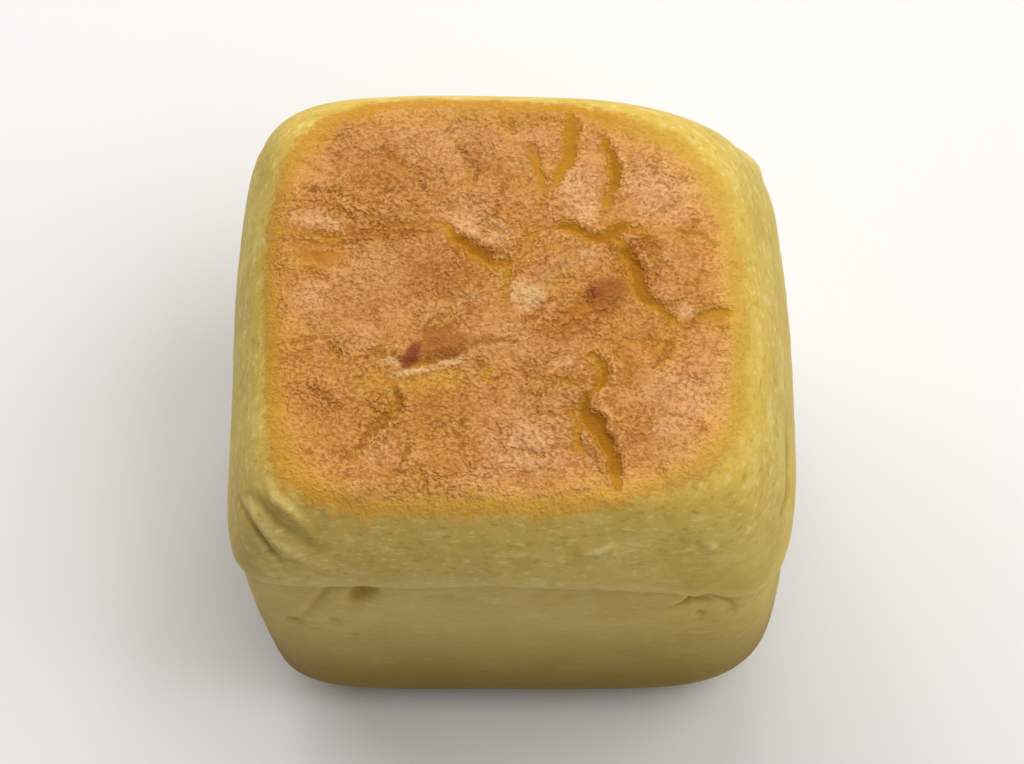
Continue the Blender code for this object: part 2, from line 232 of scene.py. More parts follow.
@dataclass(frozen=True)
class Form:
    """The smooth bun: a rounded cube that leans, with four corners of different squareness."""

    width: float = 68.6 * MM
    depth: float = 67.6 * MM
    height: float = 58 * MM
    crown_dome: float = 0.9 * MM
    shoulder_inset: float = 7.4 * MM
    shoulder_drop: float = 16 * MM
    heel_inset: float = 8.6 * MM
    heel_rise: float = 12 * MM
    barrel: float = 1.9 * MM
    widest_height: float = 31 * MM
    settle_x: float = 3.0 * MM
    settle_y: float = 1.2 * MM
    front_left: float = 11.5
    front_right: float = 6.0
    back_left: float = 5.4
    back_right: float = 3.1
    crown_squarer: float = 0.16
    base_rounder: float = 0.22
    wall_bow: float = 0.009
    back_right_sink: float = 0.038
    crown_from: float = 0.6
    base_to: float = 0.5
    turn_steps: int = 40
    crown_steps: int = 19

    def profile(self) -> tuple[np.ndarray, np.ndarray, np.ndarray]:
        """The bun's side view from the crown's middle to the base's edge.

        Returns:
            The lengths along the line, its half widths and its heights.
        """
        turn = np.linspace(0, math.pi / 2, self.turn_steps)
        shoulder_in = self.shoulder_inset * (1 - np.sin(turn))
        shoulder = np.stack([shoulder_in, self.height - self.shoulder_drop * (1 - np.cos(turn))], 1)
        heel = np.stack([self.heel_inset * (1 - np.cos(turn)), self.heel_rise * (1 - np.sin(turn))], 1)
        inset, height = np.concatenate([shoulder, heel]).T
        belly = self.barrel * ((height - self.widest_height) / (self.height / 2)) ** 2
        half = self.width / 2 - inset - belly
        crown = np.linspace(0, 1, self.crown_steps, endpoint=False)
        rise = self.crown_dome * (1 - crown**2)
        half = np.concatenate([crown * half[0], half])
        dropped = height - self.crown_dome * (height / self.height)
        height = np.concatenate([self.height - self.crown_dome + rise, dropped])
        steps = np.hypot(np.diff(half), np.diff(height))
        return np.concatenate([[0], np.cumsum(steps)]), half, height

    def squareness(self, bearing: np.ndarray, height: np.ndarray) -> np.ndarray:
        """The exponent of the outline: 2 is round, and 8 nearly square.

        Args:
            bearing: Bearings seen from above, in radians from +X.
            height: Heights above the base.

        Returns:
            The exponent at each.
        """
        right = (1 + np.cos(bearing)) / 2
        back = (1 + np.sin(bearing)) / 2
        front_side = self.front_left * (1 - right) + self.front_right * right
        back_side = self.back_left * (1 - right) + self.back_right * right
        crown = self.crown_squarer * smooth_step(self.crown_from * self.height, self.height, height)
        base = self.base_rounder * smooth_step(-self.base_to * self.height, 0, -height)
        return (front_side * (1 - back) + back_side * back) * (1 + crown - base)

    def spread(self, bearing: np.ndarray, height: np.ndarray) -> np.ndarray:
        """How much farther out the surface is at a bearing than the profile's half width.

        Args:
            bearing: Bearings in radians.
            height: Heights above the base.

        Returns:
            The factor at each.
        """
        power = self.squareness(bearing, height)
        cos, sin = np.abs(np.cos(bearing)), np.abs(np.sin(bearing))
        bow = 1 + self.wall_bow * np.cos(4 * bearing)
        return bow / (cos**power + sin**power) ** (1 / power)

    def points(self, bearing: np.ndarray, half: np.ndarray, height: np.ndarray) -> np.ndarray:
        """Points of the smooth bun.

        Args:
            bearing: Bearings in radians.
            half: Half widths of the profile.
            height: Heights of the profile.

        Returns:
            The points, one row each.
        """
        reach = half * self.spread(bearing, height)
        drop = 1 - height / self.height
        x, y = reach * np.cos(bearing), reach * np.sin(bearing) * self.depth / self.width
        right = smooth_step(-self.width / 6, self.width / 2, x)
        sink = self.back_right_sink * right * smooth_step(0, self.depth / 2, y)
        return np.stack([x + self.settle_x * drop, y + self.settle_y * drop, height * (1 - sink)], 1)

    def on_crown(self, drawn: Points) -> Route:
        """A route drawn on the crown, in millimetres from its middle."""
        flat = np.array(drawn, float) * MM
        return Route(np.column_stack([flat, np.full(len(flat), self.height)]))

    def on_wall(self, drawn: Points) -> Route:
        """A route drawn on the walls.

        Args:
            drawn: Its points, as bearings in degrees and heights in millimetres.

        Returns:
            The route over the smooth bun.
        """
        _, half, height = self.profile()
        bearing, up = np.radians([p[0] for p in drawn]), np.array([p[1] for p in drawn]) * MM
        rows = np.argsort(height)
        return Route(self.points(bearing, np.interp(up, height[rows], half[rows]), up))


@dataclass(frozen=True)
class Crack:
    """A groove of the crown: its route, half width and depth, where it is widest, and its lips' height."""

    route: Points
    half_width: float
    depth: float
    peak: float
    lips: float


@dataclass(frozen=True)
class Fold:
    """A fold of the walls: its route, half width and depth, and where it is deepest. Raised if below 0."""

    route: Points
    half_width: float
    depth: float
    peak: float


@dataclass(frozen=True)
class Patch:
    """An oval place of the crown: its middle, half sizes along and across, turn in degrees and strength."""

    centre: Pair
    half_sizes: Pair
    turn: float
    strength: float

    def share(self, places: np.ndarray) -> np.ndarray:
        """How strongly each place belongs to the patch.

        Args:
            places: Places on the crown.

        Returns:
            The share of each, up to the patch's strength.
        """
        angle = math.radians(self.turn)
        from_centre = places[:, :2] - np.array(self.centre) * MM
        along = from_centre @ (math.cos(angle), math.sin(angle)) / (self.half_sizes[0] * MM)
        across = from_centre @ (-math.sin(angle), math.cos(angle)) / (self.half_sizes[1] * MM)
        return self.strength * np.exp(-((along**2 + across**2) ** PATCH_EDGE))


def swell_along(along: np.ndarray, peak: float) -> np.ndarray:
    """A share that rises from 0 at a route's start to 1 at its peak, and falls to 0 at its end.

    Args:
        along: Shares of the route's length.
        peak: Where along the route the share is 1.

    Returns:
        The share at each.
    """
    warped = along ** (math.log(0.5) / math.log(peak))
    return np.sin(math.pi * np.clip(warped, 0, 1)) ** SWELL_FULLNESS


def crown_cracks() -> tuple[Crack, ...]:
    """The cracks and wrinkles of the crown, drawn in millimetres from its middle."""
    return (
        Crack(
            ((-9.5, 9.7), (-8.5, 9.1), (-7.0, 8.3), (-6.0, 6.9), (-4.7, 5.9), (-3.2, 5.2), (-1.6, 3.9),
             (-0.2, 3.5), (1.0, 4.0), (1.7, 3.6)),
            half_width=0.68, depth=1.3, peak=0.6, lips=0.35,
        ),
        Crack(
            ((-9.2, 9.6), (-10.4, 9.1), (-12.2, 9.2), (-14.0, 9.1), (-16.2, 9.5), (-18.1, 9.3)),
            half_width=0.27, depth=0.5, peak=0.3, lips=0.1,
        ),
        Crack(
            ((-25.1, 8.3), (-23.7, 8.1), (-22.2, 7.9), (-20.6, 7.4), (-19.6, 6.8)),
            half_width=0.28, depth=0.6, peak=0.6, lips=0.3,
        ),
        Crack(
            ((-27.9, 7.8), (-24.8, 7.0), (-19.4, 6.6), (-16.1, 7.0)),
            half_width=0.34, depth=0.48, peak=0.4, lips=0.05,
        ),
        Crack(
            ((-15.5, 20.6), (-14.0, 18.9), (-12.4, 17.7), (-11.0, 16.7), (-10.2, 14.9), (-8.8, 13.0)),
            half_width=0.24, depth=0.48, peak=0.4, lips=0.1,
        ),
        Crack(
            ((-6.7, 21.7), (-5.5, 20.2), (-4.5, 18.5), (-3.5, 16.4), (-4.2, 13.8)),
            half_width=0.27, depth=0.42, peak=0.5, lips=0.05,
        ),
        Crack(
            ((-25.1, 14.4), (-21.4, 14.1), (-19.4, 13.6)),
            half_width=0.24, depth=0.36, peak=0.5, lips=0.05,
        ),
        Crack(
            ((-21.6, 12.6), (-19.5, 10.8), (-17.9, 9.3)),
            half_width=0.24, depth=0.42, peak=0.6, lips=0.1,
        ),
        Crack(((-10.0, 19.7), (-8.1, 16.7), (-6.6, 13.8)), half_width=0.2, depth=0.36, peak=0.5, lips=0.05),
        Crack(
            ((2.8, 21.7), (3.3, 19.9), (3.7, 17.6), (4.2, 15.4), (4.9, 13.1), (5.1, 10.6)),
            half_width=0.36, depth=0.6, peak=0.35, lips=0.2,
        ),
        Crack(((0.5, 24.8), (1.1, 22.4)), half_width=0.41, depth=0.5, peak=0.5, lips=0.05),
        Crack(
            ((8.0, 26.6), (8.1, 23.2), (7.8, 20.8), (7.5, 18.2), (6.5, 16.6), (5.6, 14.5), (5.1, 12.7)),
            half_width=0.66, depth=0.76, peak=0.35, lips=0.25,
        ),
        Crack(
            ((11.8, 22.7), (12.4, 21.0), (13.0, 19.4), (13.3, 17.1), (13.4, 15.5), (12.8, 13.8),
             (12.1, 12.1), (11.6, 10.8)),
            half_width=0.62, depth=0.9, peak=0.36, lips=0.3,
        ),
        Crack(
            ((5.2, 8.7), (7.0, 8.6), (8.6, 8.1), (10.0, 7.2), (11.8, 7.4), (13.4, 8.8), (14.8, 9.0),
             (16.6, 8.7), (17.5, 7.4)),
            half_width=0.58, depth=1.15, peak=0.3, lips=0.3,
        ),
        Crack(
            ((1.5, 5.7), (2.8, 6.7), (4.0, 8.2), (5.6, 8.8)),
            half_width=0.3, depth=0.6, peak=0.6, lips=0.15,
        ),
        Crack(((12.2, 7.9), (13.6, 7.0), (14.5, 5.6)), half_width=0.35, depth=0.7, peak=0.5, lips=0.1),
        Crack(
            ((14.0, 6.4), (14.8, 4.5), (15.3, 3.1), (15.6, 1.6), (16.0, -0.1), (16.8, -1.3), (17.8, -2.1),
             (18.8, -3.2), (20.0, -4.2), (21.6, -5.2)),
            half_width=0.9, depth=1.4, peak=0.24, lips=0.35,
        ),
        Crack(
            ((21.4, -5.1), (22.4, -3.7), (23.2, -3.1), (24.9, -2.9), (26.6, -2.9), (27.9, -2.9)),
            half_width=0.6, depth=0.6, peak=0.6, lips=0.2,
        ),
        Crack(
            ((21.1, 8.7), (22.0, 8.2), (23.5, 8.1), (24.9, 7.0), (26.0, 6.5)),
            half_width=0.27, depth=0.5, peak=0.4, lips=0.15,
        ),
        Crack(
            ((17.2, 7.6), (18.1, 5.7), (17.9, 4.5), (19.1, 3.6), (20.1, 2.3), (20.7, 1.2)),
            half_width=0.27, depth=0.5, peak=0.35, lips=0.1,
        ),
        Crack(
            ((9.6, -8.6), (10.8, -9.4), (11.4, -10.8), (11.2, -12.2), (10.2, -13.4), (9.3, -15.0),
             (9.4, -16.4)),
            half_width=0.5, depth=0.86, peak=0.4, lips=0.3,
        ),
        Crack(
            ((10.0, -13.4), (9.2, -15.0), (9.6, -16.9), (10.9, -18.9), (11.8, -20.9), (12.4, -22.9),
             (12.8, -24.5), (12.6, -27.0)),
            half_width=1.0, depth=1.6, peak=0.4, lips=0.4,
        ),
        Crack(
            ((7.2, -14.6), (7.8, -16.8), (8.3, -18.7), (8.5, -20.4), (9.2, -22.4)),
            half_width=0.34, depth=0.72, peak=0.5, lips=0.2,
        ),
        Crack(
            ((-13.3, -11.3), (-13.0, -13.4), (-12.6, -15.3), (-12.9, -16.5), (-14.1, -17.0), (-15.2, -18.1),
             (-16.2, -19.6), (-17.6, -21.3)),
            half_width=0.5, depth=0.47, peak=0.66, lips=0.3,
        ),
        Crack(
            ((19.1, -6.3), (18.9, -8.1), (18.3, -9.7), (16.9, -10.9)),
            half_width=0.45, depth=0.4, peak=0.45, lips=0.1,
        ),
        Crack(((0.3, 2.9), (0.2, 0.3), (0.3, -2.5)), half_width=0.35, depth=0.5, peak=0.45, lips=0.1),
        Crack(
            ((7.1, -1.3), (4.9, -1.7), (3.9, -3.2), (2.2, -5.0), (1.3, -6.5)),
            half_width=0.2, depth=0.42, peak=0.4, lips=0.1,
        ),
        Crack(
            ((-13.0, -9.3), (-11.8, -10.5), (-10.1, -10.3), (-7.8, -9.5), (-5.4, -8.7), (-3.4, -7.6)),
            half_width=0.27, depth=0.5, peak=0.35, lips=0.3,
        ),
        Crack(
            ((-4.1, -8.0), (-3.1, -7.2), (-1.3, -7.2), (1.3, -6.9)),
            half_width=0.27, depth=0.48, peak=0.3, lips=0.1,
        ),
        Crack(((-3.6, -9.4), (-2.3, -11.1), (-0.8, -12.4)), half_width=0.38, depth=0.5, peak=0.5, lips=0.1),
        Crack(((1.6, -12.7), (2.7, -13.7), (4.5, -14.3)), half_width=0.2, depth=0.36, peak=0.5, lips=0.1),
        Crack(((4.3, -12.0), (6.5, -12.6), (9.0, -12.2)), half_width=0.27, depth=0.48, peak=0.5, lips=0.1),
        Crack(
            ((-22.2, -7.5), (-20.1, -8.5), (-18.4, -9.4)),
            half_width=0.24, depth=0.48, peak=0.6, lips=0.15,
        ),
        Crack(
            ((-23.2, -12.2), (-21.2, -14.1), (-19.8, -15.6)),
            half_width=0.3, depth=0.42, peak=0.6, lips=0.1,
        ),
        Crack(
            ((-17.0, -9.4), (-14.8, -8.9), (-12.6, -9.4)),
            half_width=0.22, depth=0.48, peak=0.6, lips=0.15,
        ),
        Crack(
            ((-5.4, -17.2), (-5.0, -19.4), (-5.6, -22.4)),
            half_width=0.35, depth=0.48, peak=0.5, lips=0.1,
        ),
        Crack(
            ((-11.6, -18.4), (-11.2, -20.6), (-12.0, -23.6)),
            half_width=0.35, depth=0.48, peak=0.5, lips=0.1,
        ),
    )


def crown_swellings() -> tuple[Patch, ...]:
    """Where the filling has lifted the crown: two knots and the rib between the front gashes."""
    return (
        Patch((-8.1, -7.9), (4.6, 1.7), 9, 0.75),
        Patch((11.9, -0.6), (2.4, 2.1), 30, 0.7),
        Patch((10.4, -21.4), (4.6, 0.7), -60, 0.4),
    )


def smooth_patches() -> tuple[Patch, ...]:
    """Where the crust's crinkle dies out into smooth orange skin."""
    return (
        Patch((-22.3, 4.9), (3.4, 1.0), -1, 1.0),
        Patch((-27.6, -6.0), (1.2, 9.0), 0, 0.5),
        Patch((-12.8, -14.6), (0.8, 1.6), 0, 0.7),
        Patch((-13.4, -12.6), (1.6, 0.7), 20, 0.6),
        Patch((18.6, -8.2), (1.0, 2.6), -12, 0.55),
        Patch((9.2, -2.8), (3.2, 0.8), 24, 0.6),
        Patch((-4.4, 14.6), (1.2, 1.6), 20, 0.45),
        Patch((3.8, 14.6), (0.9, 3.2), 12, 0.5),
        Patch((7.8, 21.6), (1.0, 3.6), 0, 0.7),
        Patch((25.6, -4.2), (2.2, 0.7), 5, 0.7),
    )


def knots() -> tuple[Patch, ...]:
    """Where the filling shows through the crust as a reddish knot."""
    return (
        Patch((-8.1, -6.2), (2.8, 1.2), 8, 0.85),
        Patch((-7.6, -7.7), (4.2, 1.5), 10, 1.0),
        Patch((-2.2, -7.3), (2.6, 0.5), 6, 0.7),
        Patch((12.0, -0.4), (3.0, 2.4), 30, 1.0),
        Patch((13.4, -2.0), (2.4, 1.9), 60, 0.5),
    )


def knot_ends() -> tuple[Patch, ...]:
    """The darkest ends of the knots."""
    return (
        Patch((-11.1, -9.1), (1.9, 1.3), 58, 1.0),
        Patch((-11.2, -9.7), (1.5, 0.6), 8, 0.9),
        Patch((-6.6, -9.2), (2.9, 0.32), 11, 0.6),
        Patch((10.6, -0.9), (1.3, 0.8), 30, 0.75),
        Patch((12.2, 0.0), (1.6, 1.0), 20, 0.6),
    )


def cream_patches() -> tuple[Patch, ...]:
    """Pale places of the crust, where the skin is thin over the filling, and one tiny painted highlight."""
    return (
        Patch((2.5, -0.9), (2.2, 2.5), 0, 0.78),
        Patch((5.6, 1.8), (3.2, 1.6), 40, 0.36),
        Patch((9.4, 4.4), (3.6, 1.8), 12, 0.45),
        Patch((-10.6, -11.2), (3.0, 0.55), 4, 1.0),
        Patch((-6.8, -9.9), (2.0, 0.5), 12, 0.8),
        Patch((-13.2, -9.9), (1.2, 0.4), -30, 0.7),
        # A tiny painted highlight: a white glint on the crust.
        Patch((7.9, 14.5), (0.4, 0.3), 0, 1.0),
    )


def pale_pads() -> tuple[Patch, ...]:
    """The cushions of crust that are paler and pinker than the rest, partly in tone and partly as painted
    highlight.
    """
    return (
        Patch((-3.4, 8.3), (4.6, 2.0), -18, 0.95),
        Patch((9.2, 13.6), (2.6, 4.4), 0, 0.95),
        Patch((2.4, -20.6), (5.4, 4.0), 0, 0.8),
        Patch((-23.6, 10.0), (4.0, 1.3), -12, 0.85),
        Patch((19.4, 14.4), (5.4, 5.6), 0, 0.75),
        Patch((20.4, -14.4), (5.2, 6.4), 0, 0.6),
        Patch((-14.0, -21.4), (3.4, 3.0), 0, 0.45),
        Patch((-23.4, -0.8), (3.6, 2.8), 0, 0.4),
        Patch((21.6, -2.6), (2.0, 1.2), 0, 0.8),
        Patch((7.0, -10.4), (2.4, 1.3), 10, 0.6),
    )


def ochre_places() -> tuple[Patch, ...]:
    """Where the crust is yellower than the rest."""
    return (
        Patch((-9.8, -12.2), (7.2, 1.7), 4, 1.0),
        Patch((-15.4, -12.4), (2.8, 2.2), 0, 0.8),
        Patch((-12.8, -15.2), (1.3, 2.6), 0, 0.8),
        Patch((26.2, -4.6), (2.4, 1.6), 0, 0.8),
        Patch((0.2, 0.4), (1.1, 3.6), 0, 0.7),
        Patch((2.0, 4.2), (2.2, 1.0), 30, 0.6),
        Patch((7.9, 22.0), (1.6, 4.2), 0, 0.8),
        Patch((4.4, 15.0), (1.3, 5.0), -8, 0.5),
        Patch((-2.0, -11.6), (1.8, 1.4), -40, 0.7),
        Patch((5.6, -13.0), (4.2, 1.4), 0, 0.6),
        Patch((-24.0, 4.2), (5.0, 1.8), 0, 0.7),
        Patch((18.6, -8.4), (1.6, 3.2), -12, 0.8),
        Patch((-5.0, 14.4), (2.2, 2.6), 20, 0.4),
        Patch((10.2, -13.6), (2.2, 3.2), 0, 0.5),
        Patch((-4.0, 24.6), (12.0, 1.4), -2, 0.6),
    )


def brown_places() -> tuple[Patch, ...]:
    """Where the crust is browner than the rest."""
    return (
        Patch((-15.6, 17.0), (6.6, 4.6), -20, 0.5),
        Patch((-17.0, -2.2), (6.4, 3.6), 0, 0.4),
        Patch((-14.0, 8.2), (6.0, 1.6), 3, 0.7),
        Patch((8.0, -4.2), (5.6, 2.6), 20, 0.7),
        Patch((-8.0, 2.0), (7.0, 4.4), 0, 0.6),
        Patch((-3.0, 17.6), (3.2, 4.4), 0, 0.4),
        Patch((14.6, 6.6), (3.6, 2.6), -25, 1.0),
        Patch((17.2, 1.6), (2.2, 4.4), 12, 0.5),
        Patch((-20.0, -18.4), (4.4, 2.4), -45, 0.15),
        Patch((9.4, -17.2), (2.6, 4.0), -15, 0.3),
        Patch((-14.6, -17.6), (3.2, 0.7), 53, 1.0),
    )


def wall_folds() -> tuple[Fold, ...]:
    """The folds and pits of the walls, drawn by bearing in degrees and height in millimetres."""
    return (
        Fold(
            ((-138.8, 55.6), (-135.4, 55.4), (-133.1, 55.3), (-131.1, 54.9), (-129.1, 54.2),
             (-126.7, 53.2)),
            half_width=0.6, depth=-0.5, peak=0.55,
        ),
        Fold(
            ((-140.5, 53.0), (-136.5, 54.0), (-134.0, 53.9), (-131.4, 53.3), (-128.7, 52.4), (-126.3, 51.4),
             (-123.9, 50.5), (-120.4, 49.1)),
            half_width=0.85, depth=0.45, peak=0.4,
        ),
        Fold(
            ((-140.4, 52.0), (-136.9, 52.8), (-134.7, 52.5), (-132.5, 51.7), (-130.6, 50.9), (-128.3, 49.9),
             (-126.2, 49.1), (-124.3, 48.5), (-122.2, 47.9)),
            half_width=0.42, depth=-0.56, peak=0.58,
        ),
        Fold(
            ((-142.0, 50.4), (-139.9, 51.3), (-136.7, 51.8), (-134.0, 51.4), (-132.0, 50.4), (-130.1, 48.9),
             (-128.4, 46.8)),
            half_width=0.38, depth=0.48, peak=0.45,
        ),
        Fold(((-133.6, 50.0), (-131.2, 48.7), (-129.2, 46.8)), half_width=0.3, depth=-0.3, peak=0.5),
        Fold(((-131.1, 49.4), (-129.6, 48.2), (-127.9, 47.2)), half_width=0.3, depth=-0.25, peak=0.5),
        Fold(
            ((-135.5, 48.9), (-133.0, 48.2), (-130.3, 46.6), (-127.3, 45.7)),
            half_width=0.6, depth=-0.4, peak=0.45,
        ),
        Fold(
            ((-115.0, 44.1), (-116.2, 43.6), (-118.0, 41.9), (-120.2, 39.0)),
            half_width=1.4, depth=0.95, peak=0.35,
        ),
        Fold(
            ((-119.6, 43.2), (-122.6, 43.2), (-124.1, 40.9), (-126.6, 36.5), (-129.2, 32.8)),
            half_width=0.7, depth=0.45, peak=0.3,
        ),
        Fold(((-131.0, 33.2), (-129.2, 32.8), (-127.6, 32.4)), half_width=0.8, depth=0.45, peak=0.5),
        Fold(((-128.8, 31.4), (-126.4, 31.2), (-124.0, 31.8)), half_width=0.45, depth=0.3, peak=0.5),
        Fold(((-124.4, 33.8), (-122.3, 34.4)), half_width=0.9, depth=0.4, peak=0.5),
        Fold(((-119.8, 43.0), (-118.0, 41.6), (-116.6, 41.4)), half_width=1.0, depth=0.5, peak=0.5),
        Fold(((-117.0, 29.8), (-109.5, 29.6), (-95.8, 30.2)), half_width=0.5, depth=0.2, peak=0.5),
        Fold(((-54.9, 51.5), (-53.2, 51.0), (-52.2, 50.5)), half_width=0.45, depth=-0.55, peak=0.5),
        Fold(((-121.8, 29.9), (-120.2, 29.4)), half_width=0.8, depth=0.3, peak=0.5),
        Fold(((-109.4, 42.4), (-104.8, 42.3), (-101.3, 43.0)), half_width=0.9, depth=0.25, peak=0.5),
        Fold(((-82.2, 42.9), (-79.0, 42.1), (-75.8, 42.2)), half_width=0.9, depth=0.3, peak=0.5),
        Fold(
            ((-62.9, 37.2), (-59.1, 38.6), (-57.3, 40.9), (-55.6, 41.5), (-53.3, 39.4), (-50.5, 34.3)),
            half_width=0.6, depth=0.85, peak=0.5,
        ),
        Fold(((-57.6, 35.2), (-55.8, 35.6)), half_width=0.8, depth=0.5, peak=0.5),
        Fold(((-53.0, 36.4), (-50.3, 32.9)), half_width=0.7, depth=0.3, peak=0.5),
        Fold(((-58.6, 40.2), (-56.8, 39.6), (-54.6, 38.6)), half_width=1.0, depth=0.55, peak=0.5),
        Fold(
            ((-48.4, 33.0), (-46.0, 34.2), (-43.4, 35.6), (-39.0, 39.6)),
            half_width=0.6, depth=0.7, peak=0.45,
        ),
        Fold(
            ((-77.0, 50.8), (-72.4, 51.4), (-69.7, 51.7), (-65.5, 51.6)),
            half_width=0.4, depth=-0.7, peak=0.5,
        ),
        Fold(((-74.6, 50.4), (-71.0, 50.9), (-67.6, 51.0)), half_width=0.3, depth=-0.5, peak=0.5),
        Fold(((-112.5, 50.4), (-108.0, 50.3), (-103.5, 50.9)), half_width=0.7, depth=0.28, peak=0.5),
        Fold(((-91.5, 50.1), (-88.6, 49.8), (-85.6, 50.2)), half_width=0.6, depth=0.28, peak=0.5),
        Fold(
            ((-40.0, 47.8), (-35.0, 46.2), (-28.0, 46.8), (-20.0, 48.4)),
            half_width=1.0, depth=0.7, peak=0.45,
        ),
        Fold(((-33.0, 38.0), (-24.0, 35.4), (-14.0, 36.4)), half_width=2.2, depth=0.6, peak=0.45),
        Fold(
            ((38.0, 51.0), (44.0, 48.6), (52.0, 47.6), (60.0, 48.4)),
            half_width=0.9, depth=0.7, peak=0.45,
        ),
        Fold(((35.0, 48.4), (42.0, 46.6), (50.0, 45.6)), half_width=0.8, depth=-0.5, peak=0.45),
        Fold(
            ((122.0, 49.6), (131.0, 47.2), (139.0, 47.8), (148.0, 50.6)),
            half_width=0.9, depth=0.7, peak=0.5,
        ),
        Fold(((128.0, 41.6), (134.0, 40.2)), half_width=1.2, depth=0.6, peak=0.5),
        Fold(((158.0, 38.0), (170.0, 35.6), (182.0, 37.0)), half_width=2.4, depth=0.6, peak=0.5),
    )


def rim_blisters() -> Points:
    """The middles of small round blisters, in millimetres from the crown's middle."""
    return ((-18.0, -26.6), (-20.3, -28.0), (-8.0, -28.2), (-3.6, -26.4), (-16.1, -29.6), (5.6, -28.8))


